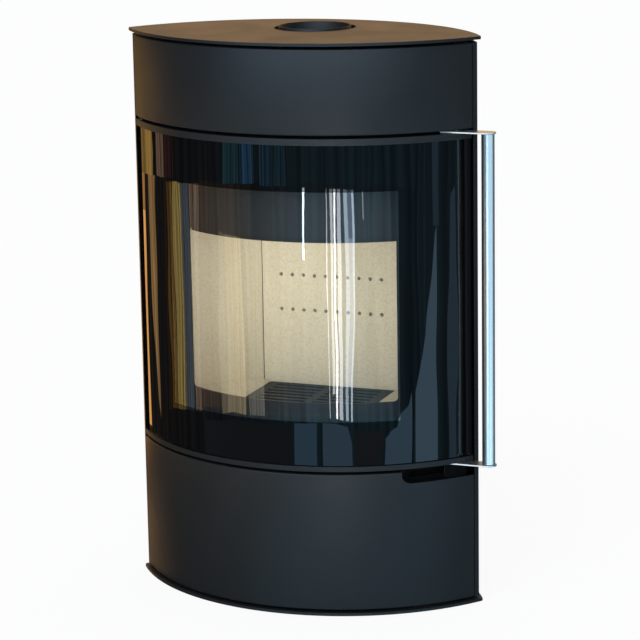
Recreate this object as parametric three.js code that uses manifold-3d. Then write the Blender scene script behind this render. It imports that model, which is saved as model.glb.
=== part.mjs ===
// Free-standing steel wood stove with a lens-shaped footprint, a full-width curved glass door,
// a stone-lined firebox, a top flue outlet and one air lever under the door.
// Millimetres, +Z up. The origin is on the floor, mid-width, on the line through both tips.
// The front of the stove faces -Y.

import * as THREE from 'three';
import { mergeVertices } from 'three/addons/utils/BufferGeometryUtils.js';
import Module from 'manifold-3d';

const wasm = await Module();
wasm.setup();

// ---- Driving dimensions -------------------------------------------------------------------

const HEIGHT = 1150;          // floor to upper face of the top plate
const HALF_WIDTH = 375;       // mid-width to a tip of the top plate
const FRONT_RISE = 200;       // how far the front arc bulges from the line of the tips
const BACK_RISE = 230;        // the same for the rear arc
const TIP_FLAT = 2;           // half thickness of the blunt tip of a plate

const PLATE = 6;              // top plate and base plate
const GAP = 6;                // shadow gap between casings, door and plates
const SEAT = 0.3;             // clearance between pieces that rest on each other

const CASING_INSET = 7;       // casing face behind the rim of the plates
const CASING_SHEET = 2.5;
const CASING_FOLD = 14.5;     // depth of a folded casing edge
const CASING_END = 361;       // where the front casings stop, beside the rear casing's nose
const NOSE_START = 362;       // where the rear casing's folded nose stops

const BASE_GAP = 4;           // lower casing above the base plate
const DOOR_BOTTOM = 298;      // underside of the bottom rail
const DOOR_TOP = 964;         // upper face of the top rail
const RAIL_BOTTOM = 10;       // height of the bottom rail
const RAIL_TOP = 13;          // height of the top rail
const LOWER_TOP = DOOR_BOTTOM - GAP;
const UPPER_BOTTOM = DOOR_TOP + GAP;
const CASING_TOP = HEIGHT - PLATE - GAP;

const HINGE = new THREE.Vector2(-344, -19.2);     // vertical axis of the door, behind its glass
const HANDLE = new THREE.Vector2(398, -28);       // vertical axis of the handle tube
const FLUE = new THREE.Vector2(0, 81);            // vertical axis of the flue
const FLUE_BORE = 70.5;
const FLUE_WALL = 3;
const FLUE_CUTOUT = 82.5;     // hole in the top plate round the flue collar
const FLUE_PROUD = 4;         // collar rim above the top plate

const WINDOW = { half: 243, low: 398, high: 859, round: 8 };       // clear part of the glass
const OPENING = { half: 222, low: 424, high: 757, round: 8 };      // mouth of the firebox
const ASH_MOUTH = { half: 150, low: 322, high: 364, round: 6 };    // mouth of the ash chamber

const FIREBOX_LOW = 314;
const FIREBOX_HIGH = 1060;
const FRONT_INSET = 62;       // firebox front plate behind the rim of the plates
const STEEL = 4;              // firebox steel
const LINING = 25;            // side lining
const BACK_LINING = 22;
const LINING_TOP = 800;
const INNER_REAR = new THREE.Vector2(156, 150);   // inner corner of side and back lining
const INNER_FRONT = new THREE.Vector2(228, -56);  // front end of the side lining's inner face

const GRATE = { half: 139.7, front: -15, rear: 148, top: 388, rows: 6, slot: 11, flank: 22, end: 10, rib: 16 };
const CARRIER = { low: 366, high: 370 };          // plate that carries grate and bricks

const POST = { inner: 298, outer: 318, front: 12, rear: 37, sheet: 3 };
const PEDESTAL = { half: 170, front: -70, rear: 165, sheet: 3, top: FIREBOX_LOW - SEAT };
const SPIGOT = { height: 110, radius: 50, end: 228 };

const ARC_STEPS = 28;         // facets of a full-width arc
const ROUND_STEPS = 32;       // facets of a large circle
const CORNER_STEPS = 2;       // half the facets of a rounded corner

// ---- Finishes -----------------------------------------------------------------------------

const finish = (color, roughness, metalness = 0) =>
  new THREE.MeshStandardMaterial({ color, roughness, metalness });

const anthracite = finish(0x2b3034, 0.55, 0.3);
const blackSteel = finish(0x1d1f21, 0.6, 0.3);
const stainless = finish(0xb9c2c6, 0.28, 1);
const zinc = finish(0x9a9d9e, 0.45, 1);
const castIron = finish(0x26262a, 0.7, 0.5);
const stone = finish(0xc9bb98, 0.9);
const blackPrint = finish(0x0c1013, 0.3);
const rope = finish(0x4a4744, 0.95);
const clearGlass = finish(0xdde6e8, 0.05);
const brass = finish(0xb08d4c, 0.35, 1);

// ---- Lens footprint -----------------------------------------------------------------------

const arcRadius = (rise) => (HALF_WIDTH ** 2 + rise ** 2) / (2 * rise);
const FRONT_RADIUS = arcRadius(FRONT_RISE);
const BACK_RADIUS = arcRadius(BACK_RISE);
const FRONT_CENTRE = FRONT_RADIUS - FRONT_RISE - TIP_FLAT;      // y of the front arc's centre
const BACK_CENTRE = BACK_RISE + TIP_FLAT - BACK_RADIUS;         // y of the rear arc's centre

const frontY = (x, inset) => FRONT_CENTRE - Math.sqrt((FRONT_RADIUS - inset) ** 2 - x ** 2);
const backY = (x, inset) => BACK_CENTRE + Math.sqrt((BACK_RADIUS - inset) ** 2 - x ** 2);

// Points on the front or rear arc at an inset, from one x to another, in equal angles.
function arcPoints(side, inset, fromX, toX, steps = ARC_STEPS) {
  const radius = (side === 'front' ? FRONT_RADIUS : BACK_RADIUS) - inset;
  const centre = side === 'front' ? FRONT_CENTRE : BACK_CENTRE;
  const way = side === 'front' ? -1 : 1;
  const start = Math.asin(fromX / radius);
  const end = Math.asin(toX / radius);
  return Array.from({ length: steps + 1 }, (_, i) => {
    const angle = start + ((end - start) * i) / steps;
    return new THREE.Vector2(radius * Math.sin(angle), centre + way * radius * Math.cos(angle));
  });
}

const at = (x, y) => new THREE.Vector2(x, y);
const mirrored = (points) => points.map((p) => at(-p.x, p.y)).reverse();

// ---- Shapes and solids --------------------------------------------------------------------

// A plan outline raised from one height to another.
function prism(outline, low, high, holes = []) {
  const shape = outline instanceof THREE.Shape ? outline : new THREE.Shape(outline);
  shape.holes.push(...holes);
  const options = { depth: high - low, bevelEnabled: false, curveSegments: CORNER_STEPS };
  return new THREE.ExtrudeGeometry(shape, options).translate(0, 0, low);
}

// A plate with its rim eased all round.
function easedPlate(outline, low, high, holes = [], ease = 0.8) {
  const shape = new THREE.Shape(outline);
  shape.holes.push(...holes);
  const options = {
    depth: high - low - 2 * ease,
    bevelThickness: ease,
    bevelSize: ease,
    bevelOffset: -ease,
    bevelSegments: 1,
  };
  return new THREE.ExtrudeGeometry(shape, options).translate(0, 0, low + ease);
}

function roundedRectangle(x0, y0, x1, y1, r, Kind = THREE.Shape) {
  const outline = new Kind();
  outline.moveTo(x0 + r, y0);
  outline.lineTo(x1 - r, y0);
  outline.absarc(x1 - r, y0 + r, r, -Math.PI / 2, 0);
  outline.lineTo(x1, y1 - r);
  outline.absarc(x1 - r, y1 - r, r, 0, Math.PI / 2);
  outline.lineTo(x0 + r, y1);
  outline.absarc(x0 + r, y1 - r, r, Math.PI / 2, Math.PI);
  outline.lineTo(x0, y0 + r);
  outline.absarc(x0 + r, y0 + r, r, Math.PI, 1.5 * Math.PI);
  return outline;
}

function circle(x, y, radius, steps = ROUND_STEPS, Kind = THREE.Path) {
  const points = Array.from({ length: steps }, (_, i) => {
    const angle = (2 * Math.PI * i) / steps;
    return new THREE.Vector2(x + radius * Math.cos(angle), y + radius * Math.sin(angle));
  });
  return new Kind(points);
}

// A shape drawn in the XZ plane and run along Y between two places.
function alongY(shape, fromY, toY, segments = CORNER_STEPS) {
  const options = { depth: toY - fromY, bevelEnabled: false, curveSegments: segments };
  return new THREE.ExtrudeGeometry(shape, options).rotateX(Math.PI / 2).translate(0, toY, 0);
}

// A cutter through the front of the stove, rounded at its corners.
const frontCutter = ({ half, low, high, round }) =>
  alongY(roundedRectangle(-half, low, half, high, round), -260, 60);

function solid(geometry) {
  const bare = geometry.clone();
  bare.deleteAttribute('normal');
  bare.deleteAttribute('uv');
  const merged = mergeVertices(bare);
  const vertProperties = new Float32Array(merged.attributes.position.array);
  const triVerts = new Uint32Array(merged.index.array);
  return new wasm.Manifold(new wasm.Mesh({ numProp: 3, vertProperties, triVerts }));
}

function geometryOf(manifold) {
  const mesh = manifold.getMesh();
  const geometry = new THREE.BufferGeometry();
  geometry.setAttribute('position', new THREE.BufferAttribute(mesh.vertProperties, 3));
  geometry.setIndex(new THREE.BufferAttribute(mesh.triVerts, 1));
  return geometry;
}

const joined = (...pieces) => geometryOf(pieces.map(solid).reduce((a, b) => a.add(b)));
const cut = (piece, ...tools) => geometryOf(tools.map(solid).reduce((a, b) => a.subtract(b), solid(piece)));
const shared = (...pieces) => geometryOf(pieces.map(solid).reduce((a, b) => a.intersect(b)));

// Mirror image across x = 0, with the faces turned back outward.
function mirror(geometry) {
  const copy = mergeVertices(strip(geometry)).scale(-1, 1, 1);
  const index = copy.index.array;
  for (let i = 0; i < index.length; i += 3) {
    const first = index[i];
    index[i] = index[i + 1];
    index[i + 1] = first;
  }
  return copy;
}

function strip(geometry) {
  const bare = geometry.clone();
  bare.deleteAttribute('normal');
  bare.deleteAttribute('uv');
  return bare;
}

// Curved sheet that follows the front arc between two insets.
function curvedSheet(outer, inner, fromX, toX, low, high, steps = ARC_STEPS) {
  const face = arcPoints('front', outer, fromX, toX, steps);
  const rear = arcPoints('front', inner, toX, fromX, steps);
  return prism([...face, ...rear], low, high);
}

// A frame-like ring that follows the front arc: a curved sheet kept between two outlines.
function curvedRing(outer, inner, outline, hole, steps = 14) {
  const reach = outline.half + 10;
  const sheet = curvedSheet(outer, inner, -reach, reach, outline.low - 5, outline.high + 5, steps);
  return cut(shared(sheet, frontCutter(outline)), frontCutter(hole));
}

const tube = (outer, inner, low, high, centre = at(0, 0), steps = ROUND_STEPS) =>
  new THREE.LatheGeometry([at(inner, low), at(outer, low), at(outer, high), at(inner, high), at(inner, low)], steps)
    .rotateX(Math.PI / 2)
    .translate(centre.x, centre.y, 0);

const rod = (radius, low, high, centre = at(0, 0), steps = 16) =>
  new THREE.CylinderGeometry(radius, radius, high - low, steps)
    .rotateX(Math.PI / 2)
    .translate(centre.x, centre.y, (low + high) / 2);

// ---- The stove as a scene graph -----------------------------------------------------------

const stove = new THREE.Group();
const door = new THREE.Group();
stove.add(door);

function add(parent, name, geometry, material) {
  const mesh = new THREE.Mesh(geometry, material);
  mesh.name = name;
  parent.add(mesh);
  return mesh;
}

// ---- Plates and carrying frame ------------------------------------------------------------

const lens = [
  ...arcPoints('front', 0, -HALF_WIDTH, HALF_WIDTH),
  ...arcPoints('back', 0, HALF_WIDTH, -HALF_WIDTH),
];

add(stove, 'base_plate', easedPlate(lens, 0, PLATE), anthracite);

const flueHole = circle(FLUE.x, FLUE.y, FLUE_CUTOUT);
add(stove, 'top_plate', easedPlate(lens, HEIGHT - PLATE, HEIGHT, [flueHole]), anthracite);

// Folded steel box under the firebox: it carries the weight and leads the combustion air in.
function pedestal() {
  const { half, front, rear, sheet, top } = PEDESTAL;
  const low = PLATE + SEAT;
  const outside = prism(roundedRectangle(-half, front, half, rear, 8), low, top);
  const inner = roundedRectangle(-half + sheet, front + sheet, half - sheet, rear - sheet, 5);
  const inside = prism(inner, low + sheet, top + 1);
  const airIn = rod(SPIGOT.radius - 1.5, -20, 20, at(0, 0), 32)
    .rotateX(Math.PI / 2)
    .translate(0, rear, SPIGOT.height);
  const toValve = new THREE.BoxGeometry(20, 84, 30).translate(half, -26, 270);
  return cut(outside, inside, airIn, toValve);
}
add(stove, 'pedestal', pedestal(), blackSteel);

// Channel posts from plate to plate: they carry the top plate, the casings and the hinges.
function post() {
  const { inner, outer, front, rear, sheet } = POST;
  const outline = [
    at(inner, front), at(outer, front), at(outer, rear), at(inner, rear),
    at(inner, rear - sheet), at(outer - sheet, rear - sheet),
    at(outer - sheet, front + sheet), at(inner, front + sheet),
  ];
  return prism(outline, PLATE + SEAT, HEIGHT - PLATE - SEAT);
}
add(stove, 'side_post_right', post(), blackSteel);
add(stove, 'side_post_left', mirror(post()), blackSteel);

// ---- Firebox ------------------------------------------------------------------------------

// The flanks of the firebox flare towards the front. All of them are offsets of one line.
const FLARE = (INNER_FRONT.x - INNER_REAR.x) / (INNER_REAR.y - INNER_FRONT.y);
const FLARE_SCALE = Math.hypot(1, FLARE);
const flankX = (y, offset) => INNER_REAR.x + offset * FLARE_SCALE + (INNER_REAR.y - y) * FLARE;

// Where a flank offset meets the front arc at an inset.
function flankMeets(offset, inset) {
  const radius = FRONT_RADIUS - inset;
  const start = flankX(FRONT_CENTRE, offset);
  const a = 1 + FLARE ** 2;
  const b = -2 * FLARE * start;
  const c = start ** 2 - radius ** 2;
  const t = (-b - Math.sqrt(b * b - 4 * a * c)) / (2 * a);
  return at(start - t * FLARE, FRONT_CENTRE + t);
}

const BOARD_FRONT = INNER_REAR.y + 0.5;                // inner face of the back board
const BOARD_GAP = 2.2;                                  // open joint at its ends
const BACK_WALL = BOARD_FRONT + BACK_LINING + 0.5;      // inner face of the rear wall
const CORNER = { x: 167, y: BOARD_FRONT };              // chamfered rear corner

// Half of the firebox wall in plan, rear middle to front end, at an offset from the lining.
const wallHalf = (offset, inset) => [
  at(CORNER.x + (offset - LINING) * 0.5, BACK_WALL + offset - LINING - 1),
  at(flankX(CORNER.y, offset), CORNER.y),
  flankMeets(offset, inset),
];

// Plan of everything inside the firebox wall, closed by the front arc.
function fireboxPlan(offset, inset) {
  const right = wallHalf(offset, inset);
  const tip = right[2];
  return [...right.slice(0, 2), ...arcPoints('front', inset, tip.x, -tip.x, 24), ...mirrored(right.slice(0, 2))];
}

function fireboxShell() {
  const gapInset = FRONT_INSET + STEEL + SEAT;
  const outer = wallHalf(LINING + 1 + STEEL, gapInset);
  const inner = wallHalf(LINING + 1, gapInset);
  const wall = [...mirrored(outer), ...outer, ...[...inner].reverse(), ...[...mirrored(inner)].reverse()];
  const floor = prism(fireboxPlan(LINING + 2, gapInset + 0.5), FIREBOX_LOW, FIREBOX_LOW + STEEL);
  const slots = AIR_ROWS.map((z) =>
    new THREE.BoxGeometry(232, 30, 12).translate(0, BACK_WALL + 2, z));
  const primary = new THREE.BoxGeometry(120, 12, 20).translate(0, 154, FIREBOX_LOW);
  return cut(joined(prism(wall, FIREBOX_LOW, FIREBOX_HIGH), floor), primary, ...slots);
}

const AIR_ROWS = [547, 621.4];      // heights of the two rows of air holes in the back board
const AIR_HOLES = 10;
const AIR_PITCH = 24.8;
const AIR_RADIUS = 4;

add(stove, 'firebox_shell', fireboxShell(), blackSteel);

const frontPlate = curvedSheet(FRONT_INSET, FRONT_INSET + STEEL, -300, 300, FIREBOX_LOW, FIREBOX_HIGH);
add(stove, 'firebox_front_plate', cut(frontPlate, frontCutter(OPENING), frontCutter(ASH_MOUTH)), blackSteel);

const lidLow = FIREBOX_HIGH + SEAT;
const lid = prism(fireboxPlan(LINING + 1 + STEEL, FRONT_INSET), lidLow, lidLow + 5, [circle(FLUE.x, FLUE.y, FLUE_BORE)]);
add(stove, 'firebox_top_plate', lid, blackSteel);

// Flanged flue collar with an eased rim.
const collarLow = lidLow + 5 + SEAT;
const collarOut = FLUE_BORE + FLUE_WALL;
const collarProfile = [
  at(FLUE_BORE, collarLow),
  at(92, collarLow),
  at(92, collarLow + 6),
  at(collarOut + 3, collarLow + 6),
  at(collarOut, collarLow + 9),
  at(collarOut, HEIGHT + FLUE_PROUD - 0.5),
  at(collarOut - 0.5, HEIGHT + FLUE_PROUD),
  at(FLUE_BORE + 0.5, HEIGHT + FLUE_PROUD),
  at(FLUE_BORE, HEIGHT + FLUE_PROUD - 0.5),
  at(FLUE_BORE, collarLow),
];
const collar = new THREE.LatheGeometry(collarProfile, ROUND_STEPS)
  .rotateX(Math.PI / 2)
  .translate(FLUE.x, FLUE.y, 0);
add(stove, 'flue_collar', collar, blackSteel);

// Hat-shaped duct that feeds the air holes of the back lining.
const ductFront = BACK_WALL + STEEL + SEAT;
const ductOut = roundedRectangle(-122, ductFront, 122, ductFront + 12, 3);
const duct = cut(
  prism(ductOut, 330, 645),
  prism(roundedRectangle(-120.5, ductFront - 5, 120.5, ductFront + 10.5, 2), 300, 643.5),
);
add(stove, 'tertiary_air_duct', duct, zinc);

// ---- Grate, ash pan and stone lining ------------------------------------------------------

const inLining = (low, high, offset) => prism(fireboxPlan(offset, FRONT_INSET + STEEL + 2 * SEAT), low, high);

const carrierHole = new THREE.BoxGeometry(264, 147, 40).translate(0, 66.5, CARRIER.high);
add(stove, 'grate_carrier', cut(inLining(CARRIER.low, CARRIER.high, LINING + 0.5), carrierHole), blackSteel);

// Cast grate with two rows of long slots, on either side of a broad rib.
function grate() {
  const { half, front, rear, top, rows, slot, flank, end, rib } = GRATE;
  const outline = roundedRectangle(-half, front, half, rear, 6);
  const pitch = (rear - front - 2 * end) / rows;
  const near = rib / 2;
  const far = half - flank;
  for (let row = 0; row < rows; row += 1) {
    const y = front + end + pitch * (row + 0.5);
    for (const [left, right] of [[-far, -near], [near, far]]) {
      outline.holes.push(roundedRectangle(left, y - slot / 2, right, y + slot / 2, slot / 2 - 0.5, THREE.Path));
    }
  }
  const options = { depth: top - CARRIER.high - SEAT, bevelEnabled: false, curveSegments: 1 };
  return new THREE.ExtrudeGeometry(outline, options).translate(0, 0, CARRIER.high + SEAT);
}
add(stove, 'grate', grate(), castIron);

// Ash pan with a turned-out lip to pull it by.
function ashPan() {
  const low = FIREBOX_LOW + STEEL + SEAT;
  const body = prism(roundedRectangle(-134, -98, 134, 140, 8), low, 360);
  const inside = prism(roundedRectangle(-132.5, -96.5, 132.5, 138.5, 6.5), low + 1.5, 370);
  const lip = prism(roundedRectangle(-60, -110, 60, -97, 4), 358.5, 360);
  return joined(cut(body, inside), lip);
}
add(stove, 'ash_pan', ashPan(), zinc);

// Base bricks: their tops fall towards the grate.
const BRICK_LOW = CARRIER.high + SEAT;
const brickField = inLining(BRICK_LOW, 440, -SEAT);

function sideBrick() {
  const edge = GRATE.half + SEAT;
  const wedge = [at(edge, BRICK_LOW), at(262, BRICK_LOW), at(262, 434), at(edge, GRATE.top)];
  return shared(alongY(new THREE.Shape(wedge), -160, INNER_REAR.y - SEAT), brickField);
}
add(stove, 'base_brick_right', sideBrick(), stone);
add(stove, 'base_brick_left', mirror(sideBrick()), stone);

function frontBrick() {
  const edge = GRATE.front - SEAT;
  const wedge = [at(-edge, BRICK_LOW), at(-edge, GRATE.top), at(137, 420), at(137, BRICK_LOW)];
  const bar = new THREE.ExtrudeGeometry(new THREE.Shape(wedge), { depth: 2 * GRATE.half, bevelEnabled: false })
    .rotateX(Math.PI / 2)
    .rotateZ(-Math.PI / 2)
    .translate(GRATE.half, 0, 0);
  return shared(bar, brickField);
}
add(stove, 'base_brick_front', frontBrick(), stone);

// Side boards run past the back board, their rear corners cut off along the chamfer of the wall.
function sideLining() {
  const inset = FRONT_INSET + STEEL + 2 * SEAT;
  const rear = BOARD_FRONT + BACK_LINING;
  const inner = [at(flankX(rear, 0), rear), flankMeets(0, inset)];
  const outer = [flankMeets(LINING, inset), at(flankX(CORNER.y, LINING), CORNER.y), at(CORNER.x - 1, rear)];
  return prism([...inner, ...outer], BRICK_LOW, LINING_TOP);
}
add(stove, 'lining_right', sideLining(), stone);
add(stove, 'lining_left', mirror(sideLining()), stone);

// Back board with two rows of round air holes, mitred with a gap to the side boards.
function backLining() {
  const reach = 170;
  const board = new THREE.Shape([
    at(-reach, BRICK_LOW), at(reach, BRICK_LOW), at(reach, LINING_TOP), at(-reach, LINING_TOP),
  ]);
  for (const z of AIR_ROWS) {
    for (let i = 0; i < AIR_HOLES; i += 1) {
      board.holes.push(circle((i - (AIR_HOLES - 1) / 2) * AIR_PITCH, z, AIR_RADIUS, 8));
    }
  }
  const rear = BOARD_FRONT + BACK_LINING;
  const right = [at(flankX(rear, -BOARD_GAP), rear + 1), at(flankX(BOARD_FRONT, -BOARD_GAP), BOARD_FRONT - 1)];
  const plan = [...mirrored(right), ...right].reverse();
  return shared(alongY(board, BOARD_FRONT, rear), prism(plan, BRICK_LOW - 1, LINING_TOP + 1));
}
add(stove, 'lining_back', backLining(), stone);

// Stone baffle on top of the lining. The smoke goes round its front edge.
const baffleFront = -5;
const bafflePlan = [
  at(CORNER.x - 3, INNER_REAR.y + BACK_LINING),
  at(flankX(CORNER.y, LINING - 1), CORNER.y),
  at(flankX(baffleFront, LINING - 1), baffleFront),
];
add(stove, 'baffle_stone', prism([...bafflePlan, ...mirrored(bafflePlan)].reverse(), LINING_TOP + SEAT, 822), stone);

// Steel deflector above the baffle. The smoke goes round its rear edge.
const deflectorRear = 96;
const DEFLECTOR_LOW = 930;
const deflectorFront = flankMeets(LINING - 1, FRONT_INSET + STEEL + 1);
const deflectorPlan = [
  at(flankX(deflectorRear, LINING - 1), deflectorRear),
  ...arcPoints('front', FRONT_INSET + STEEL + 1, deflectorFront.x, -deflectorFront.x, 24),
  at(-flankX(deflectorRear, LINING - 1), deflectorRear),
];
add(stove, 'smoke_deflector', prism(deflectorPlan, DEFLECTOR_LOW, DEFLECTOR_LOW + 3), blackSteel);

// Angle rails on the firebox walls, under the deflector.
function deflectorRail() {
  const angle = new THREE.Shape([at(0, 0), at(-22, 0), at(-22, -3), at(-3, -3), at(-3, -20), at(0, -20)]);
  const length = 110;
  return new THREE.ExtrudeGeometry(angle, { depth: length, bevelEnabled: false })
    .rotateX(Math.PI / 2)
    .rotateZ(Math.atan(FLARE))
    .translate(flankX(80, LINING + 0.5), 80, DEFLECTOR_LOW - SEAT);
}
add(stove, 'deflector_rail_right', deflectorRail(), blackSteel);
add(stove, 'deflector_rail_left', mirror(deflectorRail()), blackSteel);

// Curved strip that turns the window air down behind the glass.
const airwashEnd = OPENING.half + 2;
const airwash = joined(
  curvedSheet(70, 72, -airwashEnd, airwashEnd, 748, 790, 24),
  curvedSheet(FRONT_INSET + STEEL + SEAT, 72, -airwashEnd, airwashEnd, 788, 790, 24),
);
add(stove, 'air_wash_strip', airwash, blackSteel);

// ---- Casings ------------------------------------------------------------------------------

// Curved casing with its upper and lower edges folded inwards.
function frontCasing(low, high) {
  const inner = CASING_INSET + CASING_SHEET;
  const fold = inner + CASING_FOLD;
  const foldEnd = CASING_END - 18;
  return joined(
    curvedSheet(CASING_INSET, inner, -CASING_END, CASING_END, low, high),
    curvedSheet(inner - 1, fold, -foldEnd, foldEnd, low, low + CASING_SHEET),
    curvedSheet(inner - 1, fold, -foldEnd, foldEnd, high - CASING_SHEET, high),
  );
}
add(stove, 'upper_casing', frontCasing(UPPER_BOTTOM, CASING_TOP), anthracite);

// The lower casing is cut away under the right end of the door, for the air lever.
const CUT = { left: 246, floor: 268, round: 17 };
function leverCutout() {
  const outline = new THREE.Shape();
  outline.moveTo(CUT.left, LOWER_TOP + 10);
  outline.lineTo(CUT.left, CUT.floor + CUT.round);
  outline.absarc(CUT.left + CUT.round, CUT.floor + CUT.round, CUT.round, Math.PI, 1.5 * Math.PI);
  outline.lineTo(HALF_WIDTH, CUT.floor);
  outline.lineTo(HALF_WIDTH, LOWER_TOP + 10);
  return alongY(outline, -260, 60, 8);
}
const lowerLow = PLATE + BASE_GAP;
add(stove, 'lower_casing', cut(frontCasing(lowerLow, LOWER_TOP), leverCutout()), anthracite);

// One rear casing from tip to tip. It folds round each tip in a narrow nose beside the door.
function rearCasing() {
  const inner = CASING_INSET + CASING_SHEET;
  const tip = Math.sqrt((FRONT_RADIUS - CASING_INSET) ** 2 - FRONT_CENTRE ** 2);
  const innerTip = tip - 5;
  const noseOut = at(NOSE_START, frontY(NOSE_START, CASING_INSET));
  const noseIn = at(NOSE_START, frontY(NOSE_START, inner));
  const outline = [
    noseOut,
    at(tip, 0),
    ...arcPoints('back', CASING_INSET, tip - 0.6, -tip + 0.6, 24),
    at(-tip, 0),
    at(-noseOut.x, noseOut.y),
    at(-noseIn.x, noseIn.y),
    ...arcPoints('back', inner, -innerTip, innerTip, 24),
    noseIn,
  ];
  const shell = prism(outline, lowerLow, CASING_TOP);
  const spigotHole = rod(SPIGOT.radius + 3, -60, 60, at(0, 0), 32)
    .rotateX(Math.PI / 2)
    .translate(0, 220, SPIGOT.height);
  return cut(shell, spigotHole, ...convectionSlots());
}

// Rows of long convection slots near the floor and under the top plate.
function convectionSlots() {
  const length = 78;
  const height = 9;
  const pitch = 100;
  const slots = [];
  for (const [low, skip] of [[66, 90], [1020, 0]]) {
    for (let row = 0; row < 3; row += 1) {
      for (let column = -2; column <= 2; column += 1) {
        const x = column * pitch;
        if (Math.abs(x) < skip) continue;
        const z = low + row * 26;
        const end = length / 2;
        const flat = end - height / 2;
        const half = [at(x + flat, z), at(x + end, z + height / 2), at(x + flat, z + height)];
        const other = [at(x - flat, z + height), at(x - end, z + height / 2), at(x - flat, z)];
        slots.push(alongY(new THREE.Shape([...half, ...other]), 60, 260));
      }
    }
  }
  return slots;
}
add(stove, 'rear_casing', rearCasing(), anthracite);

// Radiation shield between the firebox and the rear casing.
const shieldFace = arcPoints('back', 20, 150, -150, 20);
const shieldRear = arcPoints('back', 21.5, -150, 150, 20);
add(stove, 'rear_heat_shield', prism([...shieldFace, ...shieldRear], 325, 1030), zinc);

// Clips from the posts to the inner faces of the front casings.
function clip(low, high) {
  const { outer } = POST;
  const outline = [
    at(outer + SEAT, 34), at(outer + SEAT, 12), at(346, -21), at(347.5, -19.5), at(outer + 2.3, 13), at(outer + 2.3, 34),
  ];
  return prism(outline.reverse(), low, high);
}
add(stove, 'casing_clip_upper_right', clip(1000, 1110), zinc);
add(stove, 'casing_clip_upper_left', mirror(clip(1000, 1110)), zinc);
add(stove, 'casing_clip_lower_right', clip(40, 150), zinc);
add(stove, 'casing_clip_lower_left', mirror(clip(40, 150)), zinc);

// Fresh-air spigot on the pedestal, ending level with the rear casing.
const spigotProfile = [
  at(48.5, 0), at(62, 0), at(62, 2.5), at(SPIGOT.radius, 2.5),
  at(SPIGOT.radius, SPIGOT.end - PEDESTAL.rear), at(48.5, SPIGOT.end - PEDESTAL.rear), at(48.5, 0),
];
const spigot = new THREE.LatheGeometry(spigotProfile, ROUND_STEPS)
  .translate(FLUE.x, PEDESTAL.rear + SEAT, SPIGOT.height);
add(stove, 'fresh_air_spigot', spigot, zinc);

// ---- Air control under the door -----------------------------------------------------------

// The air control is drawn in a group turned by 45 degrees: its X runs along the recess,
// to the right and back, and its -Y points out through the cut-out in the casing.
const airGroup = new THREE.Group();
airGroup.rotation.z = Math.PI / 4;
stove.add(airGroup);
const toAir = (x, y) => at((x + y) * Math.SQRT1_2, (y - x) * Math.SQRT1_2);

const VALVE = { face: 208, from: 60, to: 205, low: 250, high: 290, sheet: 2 };

// Duct from the pedestal to the valve face, with the air window in that face.
function valveHousing() {
  const { face, from, to, low, high, sheet } = VALVE;
  const corner = (u) => at((u + face) * Math.SQRT1_2, (u - face) * Math.SQRT1_2);
  const side = PEDESTAL.half + 0.5;
  const near = corner(from);
  const far = corner(to);
  const outline = [at(side, near.y), near, far, at(far.x, 30), at(side, 30)];
  const inner = [
    at(side - 5, near.y + sheet), at(near.x - 0.8, near.y + sheet), at(far.x - sheet, far.y + 0.8),
    at(far.x - sheet, 30 - sheet), at(side - 5, 30 - sheet),
  ];
  const window = new THREE.BoxGeometry(50, 20, 24)
    .translate(105, -face, (low + high) / 2)
    .rotateZ(Math.PI / 4);
  return cut(prism(outline, low, high), prism(inner, low + sheet, high - sheet), window);
}
add(stove, 'air_valve_housing', valveHousing(), zinc);

const LEVER = { from: 190, to: 240, face: 246.8, low: 264, high: 291 };

const slide = roundedRectangle(140, 256, 205, 284, 3);
add(airGroup, 'air_slide_plate', alongY(slide, -VALVE.face - 4.3, -VALVE.face - 2.3), zinc);

// Lever: a stem from the slide plate through the slotted panel, and a broad tab.
const stem = new THREE.BoxGeometry(12, LEVER.face - VALVE.face - 6, 6)
  .translate(LEVER.from + 6, -(LEVER.face + VALVE.face + 3.2) / 2, 277);
const tab = alongY(roundedRectangle(LEVER.from, LEVER.low, LEVER.to, LEVER.high, 5), -LEVER.face, -LEVER.face + 3);
add(airGroup, 'air_lever', joined(stem, tab), stainless);

// Pocket behind the cut-out: slotted back wall, floor and left end.
function recessPanel() {
  const back = roundedRectangle(95, 262, 226, 291, 2);
  back.holes.push(roundedRectangle(118, 271, 209, 283, 4, THREE.Path));
  const wall = alongY(back, -231, -229);
  const centre = toAir(0, FRONT_CENTRE);
  const reach = FRONT_RADIUS - CASING_INSET - CASING_SHEET - 0.5;
  const disc = prism(circle(centre.x, centre.y, reach, 96, THREE.Shape), 262, 264);
  const field = new THREE.BoxGeometry(131, 60, 10).translate(160.5, -260, 263);
  const end = new THREE.BoxGeometry(2, 22, 25.5).translate(96, -241, 276.2);
  return joined(wall, shared(disc, field), end);
}
add(airGroup, 'air_recess_panel', recessPanel(), blackSteel);

// ---- Hinges and latch on the body ---------------------------------------------------------

const LUG = 3;
const HINGE_PIN = 4;

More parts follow.
